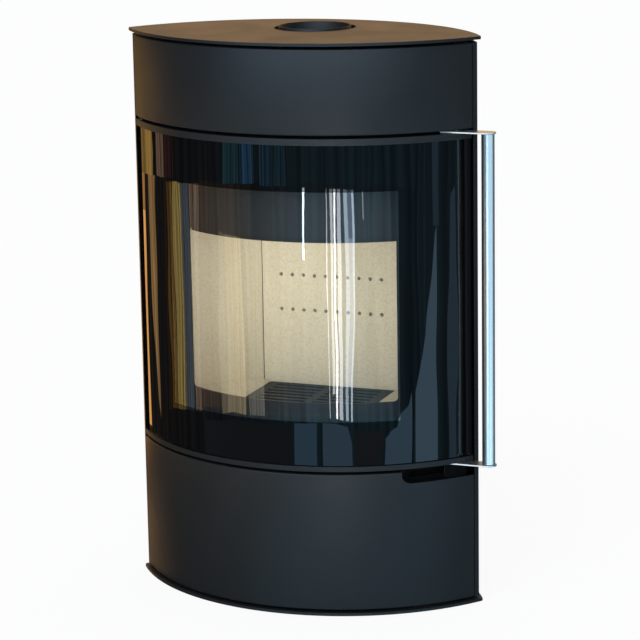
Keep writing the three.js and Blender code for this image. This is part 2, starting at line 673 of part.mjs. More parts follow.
function hingeLug(low) {
  const { outer } = POST;
  const outline = new THREE.Shape();
  outline.moveTo(-outer - SEAT, 33);
  outline.lineTo(-outer - 12, 33);
  outline.absarc(HINGE.x, HINGE.y, 7.5, 0.8 * Math.PI, 1.7 * Math.PI);
  outline.lineTo(-outer - SEAT, 8);
  return prism(outline, low, low + LUG, [circle(HINGE.x, HINGE.y, HINGE_PIN + SEAT, 16)]);
}
const LUG_TOP_LOW = DOOR_TOP + 1.2;
const LUG_BOTTOM_LOW = DOOR_BOTTOM - 1.2 - LUG;
add(stove, 'hinge_lug_top', hingeLug(LUG_TOP_LOW), blackSteel);
add(stove, 'hinge_lug_bottom', hingeLug(LUG_BOTTOM_LOW), blackSteel);
add(stove, 'hinge_pin_top', rod(HINGE_PIN, DOOR_TOP - 7, LUG_TOP_LOW + LUG + 0.6, HINGE), zinc);
add(stove, 'hinge_pin_bottom', rod(HINGE_PIN, LUG_BOTTOM_LOW - 0.6, DOOR_BOTTOM + 4, HINGE), zinc);

const LATCH = { low: 600, high: 660, roller: at(338.8, 28) };

// Fork on the right post that carries the latch roller.
function latchBracket() {
  const { outer } = POST;
  const foot = prism([at(outer + SEAT, 14), at(outer + 2.3, 14), at(outer + 2.3, 36), at(outer + SEAT, 36)], 609, 651);
  const arm = [at(outer + 1, 22), at(LATCH.roller.x + 5, 22), at(LATCH.roller.x + 5, 35), at(outer + 1, 35)];
  return joined(foot, prism(arm, 609, 611), prism(arm, 649, 651));
}
add(stove, 'latch_bracket', latchBracket(), zinc);
add(stove, 'latch_roller', tube(7, 3, 612, 648, LATCH.roller, 20), brass);

// ---- Door ---------------------------------------------------------------------------------

const RAIL = { front: CASING_INSET, rear: 45, end: 360, rearEnd: 330 };
const GLASS = { front: 12, rear: 16, end: 356, pocket: 4 };

// Plan of a rail: it follows the casing in front, and its left end is round about the hinge.
function railPlan() {
  const face = arcPoints('front', RAIL.front, -RAIL.end, RAIL.end);
  const rear = arcPoints('front', RAIL.rear, RAIL.rearEnd, -RAIL.rearEnd);
  const reach = Math.hypot(face[0].x - HINGE.x, face[0].y - HINGE.y);
  const start = Math.atan2(face[0].y - HINGE.y, face[0].x - HINGE.x);
  const round = Array.from({ length: 7 }, (_, i) => {
    const angle = Math.PI / 2 + ((start - Math.PI / 2) * i) / 7;
    return at(HINGE.x + reach * Math.cos(angle), HINGE.y + reach * Math.sin(angle));
  });
  return [...face, at(358, -4), at(349, 4.9), ...rear, ...round];
}

// Rail with the pocket that takes the edge of the glass, and the blind hinge bore.
function rail(low, high, pocketLow, pocketHigh, boreLow, boreHigh) {
  const pocket = curvedSheet(GLASS.front - 0.5, GLASS.rear + 0.6, -357.5, 357.5, pocketLow, pocketHigh);
  return cut(prism(railPlan(), low, high), pocket, rod(6, boreLow, boreHigh, HINGE));
}
const glassLow = DOOR_BOTTOM + RAIL_BOTTOM - GLASS.pocket;
const glassHigh = DOOR_TOP - RAIL_TOP + GLASS.pocket;
const railBottomHigh = DOOR_BOTTOM + RAIL_BOTTOM;
const railTopLow = DOOR_TOP - RAIL_TOP;
const boreDepth = 5;                                  // below the glass pocket in the bottom rail
const boreTopLow = glassHigh + 1;
const boreBottomHigh = DOOR_BOTTOM + boreDepth;
const railBottom = rail(
  DOOR_BOTTOM, railBottomHigh, glassLow - 0.5, railBottomHigh + 5, DOOR_BOTTOM - 5, boreBottomHigh,
);
const railTop = rail(railTopLow, DOOR_TOP, railTopLow - 5, glassHigh + 0.5, boreTopLow, DOOR_TOP + 5);
add(door, 'door_rail_bottom', railBottom, anthracite);
add(door, 'door_rail_top', railTop, anthracite);

const stile = curvedSheet(17.5, 26, 322, 352, railBottomHigh + SEAT, railTopLow - SEAT, 4);
add(door, 'door_stile_right', stile, blackSteel);
add(door, 'door_stile_left', mirror(stile), blackSteel);

add(door, 'door_glass', curvedSheet(GLASS.front, GLASS.rear, -GLASS.end, GLASS.end, glassLow, glassHigh, 44), clearGlass);

// Black print on the back of the glass, all round the clear window.
const print = curvedSheet(GLASS.rear + SEAT, GLASS.rear + 0.9, -354, 354, railBottomHigh + 1, railTopLow - 1, 44);
add(door, 'glass_print_border', cut(print, frontCutter(WINDOW)), blackPrint);

const outlineOf = (half, low, high, round) => ({ half, low, high, round });
const tape = curvedRing(17.9, 20.6, outlineOf(262, 376, 881, 16), outlineOf(249, 389, 868, 12));
add(door, 'glass_seal_tape', tape, rope);

// Inner door frame: curved plate with the window aperture. Its top is folded back, and the
// seal channel stiffens it below.
const FRAME = { front: 21.5, rear: 24.5, half: 321 };
function innerFrame() {
  const low = railBottomHigh + 1;
  const high = railTopLow - 1;
  const sheet = FRAME.rear - FRAME.front;
  const face = curvedSheet(FRAME.front, FRAME.rear, -FRAME.half, FRAME.half, low, high);
  const plate = cut(face, frontCutter(outlineOf(246, 392, 865, 12)));
  const fold = curvedSheet(FRAME.rear - 0.5, 42, -300, 300, high - sheet, high, 14);
  return joined(plate, fold);
}
add(door, 'door_inner_frame', innerFrame(), blackSteel);

// Channel on the back of the frame that holds the rope seal: two walls and the web between them.
const SEAL = { half: 257, low: 318, high: 873, round: 38, inset: 55.5, radius: 5 };
const sealOutline = (grow) => ({
  half: SEAL.half + grow,
  low: SEAL.low - grow,
  high: SEAL.high + grow,
  round: SEAL.round + grow,
});
const CHANNEL = { front: FRAME.rear + SEAT, rear: 56, web: 46, sheet: 2.5, reach: 8 };
function sealChannel() {
  const { front, rear, web, sheet, reach } = CHANNEL;
  const between = reach - sheet;
  return joined(
    curvedRing(front, rear, sealOutline(-between), sealOutline(-reach)),
    curvedRing(front, rear, sealOutline(reach), sealOutline(between)),
    curvedRing(web, web + 3, sealOutline(between + 1), sealOutline(-between - 1)),
  );
}
add(door, 'door_seal_channel', sealChannel(), blackSteel);

// Woven rope seal, pressed nearly square in its channel.
const ropeSeal = curvedRing(
  SEAL.inset - 5.7, SEAL.inset + 5.7, sealOutline(SEAL.radius), sealOutline(-SEAL.radius), 20,
);
add(door, 'door_rope_seal', ropeSeal, rope);

// Flanged bushes in the rails, round the hinge pins.
const bush = (low, high, collarLowZ) => joined(
  tube(5.7, HINGE_PIN + 0.3, low, high, HINGE, 16),
  tube(7.5, HINGE_PIN + 0.3, collarLowZ, collarLowZ + 0.8, HINGE, 16),
);
add(door, 'hinge_bush_top', bush(boreTopLow + SEAT, DOOR_TOP + 0.4, DOOR_TOP + 0.2), brass);
add(door, 'hinge_bush_bottom', bush(DOOR_BOTTOM - 0.4, boreBottomHigh - SEAT, DOOR_BOTTOM - 1), brass);

// Tongue that runs past the latch roller.
const tongueFoot = curvedSheet(26.3, 29.3, 322, 341, LATCH.low, LATCH.high, 3);
const tongueBlade = prism(
  [at(327, frontY(327, 28)), at(330, frontY(330, 28)), at(330, 34), at(328.8, 38), at(328.2, 38), at(327, 34)],
  LATCH.low + 18,
  LATCH.high - 18,
);
add(door, 'door_latch_tongue', joined(tongueFoot, tongueBlade), zinc);

// ---- Handle -------------------------------------------------------------------------------

const HANDLE_RADIUS = 13;
const BRACKET = { radius: 16, sheet: 3, inner: 305 };
const bracketTopLow = DOOR_TOP + SEAT;
const bracketBottomLow = DOOR_BOTTOM - SEAT - BRACKET.sheet;

// Flat strip from the rail to the handle, with a round outer end.
function bracket(low) {
  const outline = new THREE.Shape();
  outline.moveTo(BRACKET.inner, HANDLE.y - BRACKET.radius);
  outline.lineTo(HANDLE.x, HANDLE.y - BRACKET.radius);
  outline.absarc(HANDLE.x, HANDLE.y, BRACKET.radius, -Math.PI / 2, Math.PI / 2);
  outline.lineTo(BRACKET.inner + 24, HANDLE.y + BRACKET.radius);
  outline.lineTo(BRACKET.inner, HANDLE.y - 4);
  return prism(outline, low, low + BRACKET.sheet);
}
add(door, 'handle_bracket_top', bracket(bracketTopLow), stainless);
add(door, 'handle_bracket_bottom', bracket(bracketBottomLow), stainless);

const handleTube = tube(HANDLE_RADIUS, HANDLE_RADIUS - 2, DOOR_BOTTOM, DOOR_TOP, HANDLE, 32);
add(door, 'handle_tube', handleTube, stainless);

export default stove;
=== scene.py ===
"""Looks of a free-standing steel wood stove on a lens-shaped footprint: a curved glass door, a
stone-lined firebox, a stainless handle and an air lever. Sizes are in millimetres and become metres
when a mesh is made."""

import math

import bmesh
import bpy
from mathutils import Matrix, Vector
from mathutils.geometry import tessellate_polygon


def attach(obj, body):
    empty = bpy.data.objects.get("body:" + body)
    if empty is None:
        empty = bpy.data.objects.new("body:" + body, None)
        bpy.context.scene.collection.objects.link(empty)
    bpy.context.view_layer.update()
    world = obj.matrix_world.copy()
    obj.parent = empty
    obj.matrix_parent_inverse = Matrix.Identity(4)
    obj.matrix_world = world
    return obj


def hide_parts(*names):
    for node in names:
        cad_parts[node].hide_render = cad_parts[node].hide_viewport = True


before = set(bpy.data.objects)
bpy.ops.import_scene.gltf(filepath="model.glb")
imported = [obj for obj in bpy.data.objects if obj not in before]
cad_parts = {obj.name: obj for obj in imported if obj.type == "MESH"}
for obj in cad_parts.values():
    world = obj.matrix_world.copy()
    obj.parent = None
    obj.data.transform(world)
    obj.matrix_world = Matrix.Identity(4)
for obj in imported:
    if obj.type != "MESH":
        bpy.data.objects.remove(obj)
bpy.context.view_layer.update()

# ---- Base plate and top plate ----------------------------------------------------------------
# Two 6 mm steel plates, laser-cut to the lens footprint and sprayed with stove paint. The lower one
# stands on the floor and the upper one closes the body, with a round cut-out for the flue collar.

HEIGHT = 1150
PLATE = 6
PLATE_EDGE = 0.8
HALF_WIDTH = 375
FRONT = {"radius": 451.5625, "centre": 249.5625, "way": -1}
BACK = {"radius": 420.7065, "centre": -188.7065, "way": 1}
FLUE = (0, 81)
FLUE_CUTOUT = 82.5


def arc(side, inset, x_from, x_to, steps=120):
    """Points on the front or rear arc of the footprint, inset from the rim of the plates."""
    r = side["radius"] - inset
    start, end = math.asin(x_from / r), math.asin(x_to / r)
    angles = [start + (end - start) * i / steps for i in range(steps + 1)]
    return [(r * math.sin(a), side["centre"] + side["way"] * r * math.cos(a)) for a in angles]


def ring(centre, radius, steps):
    """Points of a circle."""
    turns = [2 * math.pi * i / steps for i in range(steps)]
    return [(centre[0] + radius * math.cos(a), centre[1] + radius * math.sin(a)) for a in turns]


def mesh_object(name, points, faces):
    """A closed mesh from points in millimetres, with its faces turned outward."""
    mesh = bpy.data.meshes.new(name)
    mesh.from_pydata([(x / 1000, y / 1000, z / 1000) for x, y, z in points], [], faces)
    shape = bmesh.new()
    shape.from_mesh(mesh)
    bmesh.ops.remove_doubles(shape, verts=shape.verts, dist=1e-7)
    bmesh.ops.recalc_face_normals(shape, faces=shape.faces)
    shape.to_mesh(mesh)
    shape.free()
    made = bpy.data.objects.new(name, mesh)
    bpy.context.scene.collection.objects.link(made)
    return made


def upright(u, v, w):
    """From a drawing in plan, raised along Z."""
    return u, v, w


def solid(name, outline, low, high, holes=(), place=upright):
    """An outline with its holes, raised from low to high. Place turns the drawing's points into
    points on the stove."""
    loops = [outline, *holes]
    flat = [p for loop in loops for p in loop]
    count = len(flat)
    if holes:
        caps = tessellate_polygon([[Vector((u, v, 0)) for u, v in loop] for loop in loops])
    else:
        caps = [tuple(range(count))]
    walls = []
    start = 0
    for loop in loops:
        size = len(loop)
        for i in range(size):
            a, b = start + i, start + (i + 1) % size
            walls.append((a, b, count + b, count + a))
        start += size
    faces = [tuple(c) for c in caps] + [tuple(count + i for i in c) for c in caps] + walls
    points = [place(u, v, low) for u, v in flat] + [place(u, v, high) for u, v in flat]
    return mesh_object(name, points, faces)


def eased(piece, edge, angle):
    """Rounds the edges of a piece that turn by more than the angle."""
    ease = piece.modifiers.new("eased edges", "BEVEL")
    ease.width = edge / 1000
    ease.segments = 2
    ease.limit_method = "ANGLE"
    ease.angle_limit = math.radians(angle)
    return ease


def dress(piece, body, slot, finish, *nodes, edge=0.5, smooth=40):
    """Eases a piece's edges, gives it its finish and puts it on its body in place of its solids."""
    piece.data.materials.clear()
    piece.data.materials.append(finish)
    piece.data.shade_smooth()
    piece.data.set_sharp_from_angle(angle=math.radians(smooth))
    if edge:
        eased(piece, edge, smooth).harden_normals = True
    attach(piece, body)
    if nodes:
        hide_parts(*nodes)
    return piece


def linear(code, alpha=1.0):
    """An sRGB hex colour as linear light."""
    parts = [int(code[i : i + 2], 16) / 255 for i in (1, 3, 5)]
    return (*[c / 12.92 if c <= 0.04045 else ((c + 0.055) / 1.055) ** 2.4 for c in parts], alpha)


def add(tree, kind, links=None, **settings):
    """Adds a node with its settings. Links gives an input its value, or another node's output, or
    another node for that node's first output."""
    made = tree.nodes.new("ShaderNode" + kind)
    stops = settings.pop("stops", None)
    for name, value in settings.items():
        setattr(made, name, value)
    if stops:
        while len(made.color_ramp.elements) < len(stops):
            made.color_ramp.elements.new(0.5)
        for element, (place, colour) in zip(made.color_ramp.elements, stops):
            element.position = place
            element.color = colour
    for socket, value in (links or {}).items():
        if isinstance(value, bpy.types.Node):
            value = value.outputs[0]
        if isinstance(value, bpy.types.NodeSocket):
            tree.links.new(value, made.inputs[socket])
        else:
            made.inputs[socket].default_value = value
    return made


def new_finish(name):
    """An empty material and its node tree."""
    made = bpy.data.materials.new(name)
    made.use_nodes = True
    made.node_tree.nodes.clear()
    return made, made.node_tree


def stove_paint(name, colour, worn, roughness, grain_mm=0.9, shine=0.5):
    """Heat-resistant silicone paint, sprayed on blasted steel: matte, with a fine dry grain in its
    sheen and a faint cloudiness where the coats overlap. The grain of about 0.2 mm is drawn coarser
    to show."""
    finish, tree = new_finish(name)
    place = add(tree, "TexCoord").outputs["Object"]
    speck = {"Vector": place, "Scale": 1000 / grain_mm, "Detail": 3, "Roughness": 0.6}
    grain = add(tree, "TexNoise", speck)
    cloud = add(tree, "TexNoise", {"Vector": place, "Scale": 1000 / 90, "Detail": 2})
    blotch = {"Vector": place, "Scale": 1000 / 14, "Detail": 4, "Roughness": 0.65}
    tone = add(tree, "TexNoise", blotch)
    tint = add(tree, "Mix", {0: tone, 6: linear(colour), 7: linear(worn)}, data_type="RGBA")
    sheen = {0: cloud, 1: 0.3, 2: 0.7, 3: roughness - 0.03, 4: roughness + 0.03}
    looks = {
        "Base Color": tint.outputs[2],
        "Roughness": add(tree, "MapRange", sheen),
        "Normal": add(tree, "Bump", {"Strength": 0.22, "Distance": 0.0003, "Height": grain}),
        "IOR": 1.5,
        "Specular IOR Level": shine,
    }
    add(tree, "OutputMaterial", {"Surface": add(tree, "BsdfPrincipled", looks)})
    return finish


anthracite_paint = stove_paint("sprayed anthracite stove paint", "#17191b", "#1a1c1e", 0.44)

lens = arc(FRONT, 0, -HALF_WIDTH, HALF_WIDTH) + arc(BACK, 0, HALF_WIDTH, -HALF_WIDTH)
base_plate = solid("plate_on_floor", lens, 0, PLATE)
dress(base_plate, "stove", "casing_paint", anthracite_paint, "base_plate", edge=PLATE_EDGE)

top_plate = solid("plate_on_top", lens, HEIGHT - PLATE, HEIGHT, [ring(FLUE, FLUE_CUTOUT, 128)])
dress(top_plate, "stove", "casing_paint", anthracite_paint, "top_plate", edge=PLATE_EDGE)

# ---- Front casings ---------------------------------------------------------------------------
# Folded 2.5 mm sheet, rolled to the front arc and sprayed as the plates are. The two casings leave
# a 6 mm shadow gap to the door. The lower one is cut out at the right for the air lever.

CASING_INSET = 7
CASING_SHEET = 2.5
CASING_BACK = CASING_INSET + CASING_SHEET
CASING_FOLD = 24
CASING_TURN = 3
CASING_END = 361
LOWER_CASING = (10, 292)
UPPER_CASING = (970, 1138)


def skinned(name, rows, closed=False):
    """A skin over rows of points. It runs on to the first row, or has a cap at both ends."""
    size, count = len(rows[0]), len(rows)
    faces = []
    for i in range(count if closed else count - 1):
        here, there = i * size, (i + 1) % count * size
        for j in range(size):
            k = (j + 1) % size
            faces.append((here + j, here + k, there + k, there + j))
    if not closed:
        faces += [tuple(range(size)), tuple(range((count - 1) * size, count * size))]
    return mesh_object(name, [point for row in rows for point in row], faces)


def swept(name, section, x_end, steps=150):
    """A closed section of (inset, height) points, run along the front arc of the footprint."""
    end = math.asin(x_end / (FRONT["radius"] - min(inset for inset, _ in section)))
    radii = [(FRONT["radius"] - inset, z) for inset, z in section]
    rows = []
    for a in (-end + 2 * end * i / steps for i in range(steps + 1)):
        rows.append([(r * math.sin(a), FRONT["centre"] - r * math.cos(a), z) for r, z in radii])
    return skinned(name, rows)


def folded_sheet(low, high):
    """Section of a casing whose edges are folded inwards round a small radius."""
    angles = (0, 0.4, 0.8, 1.2, math.pi / 2)
    turn = [
        (CASING_INSET + CASING_TURN * (1 - math.cos(a)), CASING_TURN * (1 - math.sin(a)))
        for a in angles
    ]
    return [
        *[(i, low + z) for i, z in turn],
        (CASING_FOLD, low),
        (CASING_FOLD, low + CASING_SHEET),
        (CASING_BACK, low + CASING_SHEET),
        (CASING_BACK, high - CASING_SHEET),
        (CASING_FOLD, high - CASING_SHEET),
        (CASING_FOLD, high),
        *[(i, high - z) for i, z in reversed(turn)],
    ]


def cut(piece, *tools):
    """Takes the tools' shapes out of a piece, and the tools out of the scene."""
    for tool in tools:
        step = piece.modifiers.new("cut", "BOOLEAN")
        step.operation = "DIFFERENCE"
        step.solver = "EXACT"
        step.object = tool
    depsgraph = bpy.context.evaluated_depsgraph_get()
    mesh = bpy.data.meshes.new_from_object(piece.evaluated_get(depsgraph))
    piece.modifiers.clear()
    piece.data = mesh
    for tool in tools:
        bpy.data.objects.remove(tool)
    return piece


def joined(pieces):
    """Several meshes as one object."""
    with bpy.context.temp_override(active_object=pieces[0], selected_editable_objects=pieces):
        bpy.ops.object.join()
    return pieces[0]


def frontward(u, v, w):
    """From a drawing in the XZ plane, raised along Y."""
    return u, w, v


upper_casing = swept("casing_upper", folded_sheet(*UPPER_CASING), CASING_END)
dress(upper_casing, "stove", "casing_paint", anthracite_paint, "upper_casing", edge=0.4)

lower_casing = swept("casing_lower", folded_sheet(*LOWER_CASING), CASING_END)
LEVER_CUT = {"left": 246, "floor": 268, "above": 302, "round": 17}
turn_x, turn_z = LEVER_CUT["left"] + LEVER_CUT["round"], LEVER_CUT["floor"] + LEVER_CUT["round"]
turns = [math.radians(180 + 9 * i) for i in range(11)]
lever_mouth = [
    (LEVER_CUT["left"], LEVER_CUT["above"]),
    *[
        (turn_x + LEVER_CUT["round"] * math.cos(a), turn_z + LEVER_CUT["round"] * math.sin(a))
        for a in turns
    ],
    (HALF_WIDTH, LEVER_CUT["floor"]),
    (HALF_WIDTH, LEVER_CUT["above"]),
]
FRONT_HALF = (-260, 60)
cut(lower_casing, solid("tool", lever_mouth, *FRONT_HALF, place=frontward))
dress(lower_casing, "stove", "casing_paint", anthracite_paint, "lower_casing", edge=0)

# ---- Rear casing -----------------------------------------------------------------------------
# One sheet of 2.5 mm, rolled to the rear arc and bent round both tips to a narrow nose in front,
# with two bands of cooling slots and a hole for the fresh-air spigot. Flanges spot-welded inside
# the noses close the 1 mm seams to the front casings.

NOSE_START = 362
TIP_ROUND = {"outer": 0.6, "inner": 5}
SPIGOT_HEIGHT = 110
SPIGOT_RADIUS = 50
SPIGOT_CUT = (150, 260)
VENT = {"half": 39, "tall": 9, "round": 4.3, "pitch": 100, "rise": 26}
# A band of three rows starts at each height. The lower band leaves the middle to the spigot.
VENT_ROWS = ((66, 90), (1020, 0))
REAR_HALF = (60, 260)


def front_y(x, inset):
    """Where the front arc, inset from the rim, is at x."""
    return FRONT["centre"] - math.sqrt((FRONT["radius"] - inset) ** 2 - x**2)


def rounded(u0, v0, u1, v1, r, steps=6):
    """Outline of a rectangle with round corners."""
    corners = [
        (u1 - r, v0 + r, -90),
        (u1 - r, v1 - r, 0),
        (u0 + r, v1 - r, 90),
        (u0 + r, v0 + r, 180),
    ]
    shares = [90 * i / steps for i in range(steps + 1)]
    turns = [(u, v, math.radians(start + share)) for u, v, start in corners for share in shares]
    return [(u + r * math.cos(a), v + r * math.sin(a)) for u, v, a in turns]


tip = math.sqrt((FRONT["radius"] - CASING_INSET) ** 2 - FRONT["centre"] ** 2)
nose = (NOSE_START, front_y(NOSE_START, CASING_INSET))
nose_back = (NOSE_START, front_y(NOSE_START, CASING_BACK))
outer_end, inner_end = tip - TIP_ROUND["outer"], tip - TIP_ROUND["inner"]
wrap = [
    nose,
    (tip, 0),
    *arc(BACK, CASING_INSET, outer_end, -outer_end, 150),
    (-tip, 0),
    (-nose[0], nose[1]),
    (-nose_back[0], nose_back[1]),
    *arc(BACK, CASING_BACK, -inner_end, inner_end, 150),
    nose_back,
]
rear_casing = solid("casing_rear", wrap, LOWER_CASING[0], UPPER_CASING[1])
vents = []
for row_low, clear in VENT_ROWS:
    for row in range(3):
        for column in range(-2, 3):
            x, z = column * VENT["pitch"], row_low + row * VENT["rise"]
            if abs(x) >= clear:
                slot = (x - VENT["half"], z, x + VENT["half"], z + VENT["tall"], VENT["round"])
                vents.append(solid("tool", rounded(*slot), *REAR_HALF, place=frontward))
spigot_hole = ring((0, SPIGOT_HEIGHT), SPIGOT_RADIUS + 3, 96)
vents.append(solid("tool", spigot_hole, *SPIGOT_CUT, place=frontward))
cut(rear_casing, joined(vents))
dress(rear_casing, "stove", "casing_paint", anthracite_paint, "rear_casing", edge=0, smooth=30)

FLANGE_FRONT = CASING_BACK + 0.15
FLANGE_ENDS = (350, 366)
FLANGE_HEIGHTS = (("upper", 973, 1135), ("lower", 13, 261))
flange_plan = arc(FRONT, FLANGE_FRONT, *FLANGE_ENDS, 8)
flange_plan += arc(FRONT, FLANGE_FRONT + 1, *reversed(FLANGE_ENDS), 8)
for side, hand in ((1, "right"), (-1, "left")):
    for level, low, high in FLANGE_HEIGHTS:
        plan = [(side * x, y) for x, y in flange_plan]
        flange = solid(f"seam_flange_{level}_{hand}", plan, low, high)
        dress(flange, "stove", "casing_paint", anthracite_paint, edge=0)

# ---- Casing screws ---------------------------------------------------------------------------
# Six button-head screws of blackened steel hold the rear casing, through 10 mm spacers on the
# radiation shield behind it.

BUTTON_HEAD = {"radius": 5.2, "height": 2.9, "shank": 12.8}
SCREW_COLUMNS, SCREW_ROWS = (-125, 125), (360, 675, 990)
HEAD_DOME = [(0.93, 0.62), (0.76, 0.88), (0.54, 1.0), (0, 1.0), (0, 0.4)]
HEAD_NECK = 4.5
HEAD_SIDES = 24
SOCKET = 0.36


def bare_metal(name, colour, patchy, patch_mm, smooth, rough, spread=(0.3, 0.7)):
    """Metal without paint. Its tint and its polish drift over patches of a real size."""
    finish, tree = new_finish(name)
    place = add(tree, "TexCoord").outputs["Object"]
    patch = add(tree, "TexNoise", {"Vector": place, "Scale": 1000 / patch_mm, "Detail": 3})
    polish = add(tree, "MapRange", {0: patch, 1: spread[0], 2: spread[1], 3: smooth, 4: rough})
    tint = add(tree, "Mix", {0: patch, 6: linear(colour), 7: linear(patchy)}, data_type="RGBA")
    looks = {"Base Color": tint.outputs[2], "Metallic": 1.0, "Roughness": polish}
    add(tree, "OutputMaterial", {"Surface": add(tree, "BsdfPrincipled", looks)})
    return finish


# A thin dark oxide over bright metal, a little uneven every 3 mm where the tool has touched it.
blackened = bare_metal("blackened steel screw", "#26272a", "#34353a", 3, 0.34, 0.46)


def screws(name, spots, radius, height, shank=0.3):
    """Round heads with a hexagon socket. Spots are (point under the head, where the head faces)."""
    neck = min(radius, HEAD_NECK)
    levels = [(neck, -shank), (neck, 0.0), (radius, 0.0), (radius, 0.3 * height)]
    levels += [(share * radius, h * height) for share, h in HEAD_DOME]
    angles = [2 * math.pi * i / HEAD_SIDES for i in range(HEAD_SIDES)]
    made = []
    for place, toward in spots:
        turn = Vector(toward).to_track_quat("Z", "Y")
        rows = []
        for r, h in levels:
            row = []
            for a in angles:
                hexagon = SOCKET * radius / math.cos(a % (math.pi / 3) - math.pi / 6)
                reach = r if r else hexagon
                across = turn @ Vector((reach * math.cos(a), reach * math.sin(a), h))
                row.append(tuple(Vector(place) + across))
            rows.append(row)
        made.append(skinned(name, rows))
    return joined(made)


spots = []
for x in SCREW_COLUMNS:
    radius = BACK["radius"] - CASING_INSET
    a = math.asin(x / radius)
    for z in SCREW_ROWS:
        place = (radius * math.sin(a), BACK["centre"] + radius * math.cos(a), z)
        spots.append((place, (math.sin(a), math.cos(a), 0)))
casing_screws = screws("rear_casing_screws", spots, **BUTTON_HEAD)
dress(casing_screws, "stove", "dark_steel", blackened, edge=0)

# ---- Firebox steel ---------------------------------------------------------------------------
# Welded 4 mm steel, painted with the same paint in a deeper black. It takes on a dry, slightly
# rougher surface with the heat. The pieces inside the casings stay as the solids are.

FRONT_PLATE = {"outer": 62, "inner": 66, "x_end": 300, "low": 314, "high": 1060}
FIRE_MOUTH = {"half": 222, "low": 424, "high": 757, "r": 8}
ASH_MOUTH = {"half": 150, "low": 322, "high": 364, "r": 6}
AIR_WASH = [(66.3, 788), (66.3, 790), (72, 790), (72, 748), (70, 748), (70, 788)]
AIR_WASH_END = 224

black_steel = stove_paint("welded steel in black stove paint", "#151618", "#19191a", 0.55, 1.4)


def sheet(name, outer, inner, x_end, low, high):
    """Curved sheet that follows the front arc."""
    return swept(name, [(outer, low), (inner, low), (inner, high), (outer, high)], x_end)


def window_tool(half, low, high, r):
    """Tool that cuts a rounded opening through the front of the stove."""
    outline = rounded(-half, low, half, high, r, 10)
    return solid("tool", outline, *FRONT_HALF, place=frontward)


def carried(node, finish, edge=0.0):
    """A solid that stays as it is and gets its finish, and where it shows, eased edges."""
    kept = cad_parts[node]
    for i in range(len(kept.data.materials)):
        kept.data.materials[i] = finish
    if edge:
        eased(kept, edge, 30)


front_plate = sheet("firebox_front", **FRONT_PLATE)
cut(front_plate, window_tool(**FIRE_MOUTH), window_tool(**ASH_MOUTH))
dress(front_plate, "stove", "dark_steel", black_steel, "firebox_front_plate", edge=0)

air_wash = swept("air_wash_baffle", AIR_WASH, AIR_WASH_END)
dress(air_wash, "stove", "dark_steel", black_steel, "air_wash_strip", edge=0.4)

for node in ("pedestal", "side_post_right", "side_post_left", "firebox_shell", "firebox_top_plate"):
    carried(node, black_steel)
for node in ("grate_carrier", "smoke_deflector", "deflector_rail_right", "deflector_rail_left"):
    carried(node, black_steel)

# ---- Flue collar -----------------------------------------------------------------------------
# A turned steel ring with a flange, welded on the firebox top in the same black paint. It stands
# 4 mm proud of the top plate and takes a flue pipe of 150 mm.

COLLAR_LOW = 1065.6
COLLAR_TOP = 1154
COLLAR_FOOT = [(70.5, 0), (92, 0), (92, 6), (76.5, 6), (74.4, 7), (73.5, 9)]
COLLAR_RIM = [(73.5, -0.8), (73.2, -0.2), (72.7, 0), (71.3, 0), (70.8, -0.2), (70.5, -0.8)]


def lathe(name, profile, centre, steps, axis="z"):
    """A closed profile of (radius, height) points, turned about an upright axis, or about one that
    runs from front to back."""
    x, y, z = centre
    rows = []
    for a in (2 * math.pi * i / steps for i in range(steps)):
        row = [(r * math.cos(a), r * math.sin(a), h) for r, h in profile]
        if axis == "z":
            rows.append([(x + u, y + v, z + h) for u, v, h in row])
        else:
            rows.append([(x + u, y + h, z + v) for u, v, h in row])
    return skinned(name, rows, closed=True)


collar_profile = [(r, COLLAR_LOW + h) for r, h in COLLAR_FOOT]
collar_profile += [(r, COLLAR_TOP + h) for r, h in COLLAR_RIM]
collar = lathe("flue_outlet", collar_profile, (*FLUE, 0), 128)
dress(collar, "stove", "dark_steel", black_steel, "flue_collar", edge=0)

# ---- Stone lining and base bricks ------------------------------------------------------------
# Pressed vermiculite boards, 22 to 25 mm thick. The back board has two rows of drilled air holes
# and stands between the side boards, its ends mitred to them with a joint that stays open for
# expansion.

AIR_ROWS = (547, 621.4)
AIR_HOLES = {"count": 10, "pitch": 24.8, "radius": 4}
BOARD = {"half": 153.5, "low": 370.3, "high": 800, "front": 150.5, "rear": 172.5}
MITRE = 0.35
MITRE_FROM = 140

# Flakes of 2 to 5 mm, pressed flat: pale golden grains in a warm beige binder, matte, with the
# faint upright streaks that the press draws about 20 mm apart.
vermiculite, tree = new_finish("pressed vermiculite board")
place = add(tree, "TexCoord").outputs["Object"]
flakes = add(tree, "TexVoronoi", {"Vector": place, "Scale": 1000 / 3.2, "Randomness": 1.0})
streak = add(tree, "Mapping", {"Vector": place, "Scale": (1.0, 1.0, 0.07)})
drawn = {"Vector": streak, "Scale": 1000 / 22, "Detail": 4, "Roughness": 0.6}
drift = add(tree, "TexNoise", drawn)
fine = add(tree, "TexNoise", {"Vector": place, "Scale": 1000 / 1.6, "Detail": 3})
binder = {0: drift, 6: linear("#c3b498"), 7: linear("#dacfb6")}
base = add(tree, "Mix", binder, data_type="RGBA")
speck = add(tree, "SeparateColor", {0: flakes.outputs["Color"]})
amount = add(tree, "MapRange", {0: speck, 1: 0.55, 2: 1.0, 3: 0.0, 4: 0.35})
golden = {0: amount, 6: base.outputs[2], 7: linear("#b09a6c")}
looks = {
    "Base Color": add(tree, "Mix", golden, data_type="RGBA").outputs[2],
    "Roughness": 0.88,
    "Normal": add(tree, "Bump", {"Strength": 0.35, "Distance": 0.0004, "Height": fine}),
    "IOR": 1.5,
}
add(tree, "OutputMaterial", {"Surface": add(tree, "BsdfPrincipled", looks)})


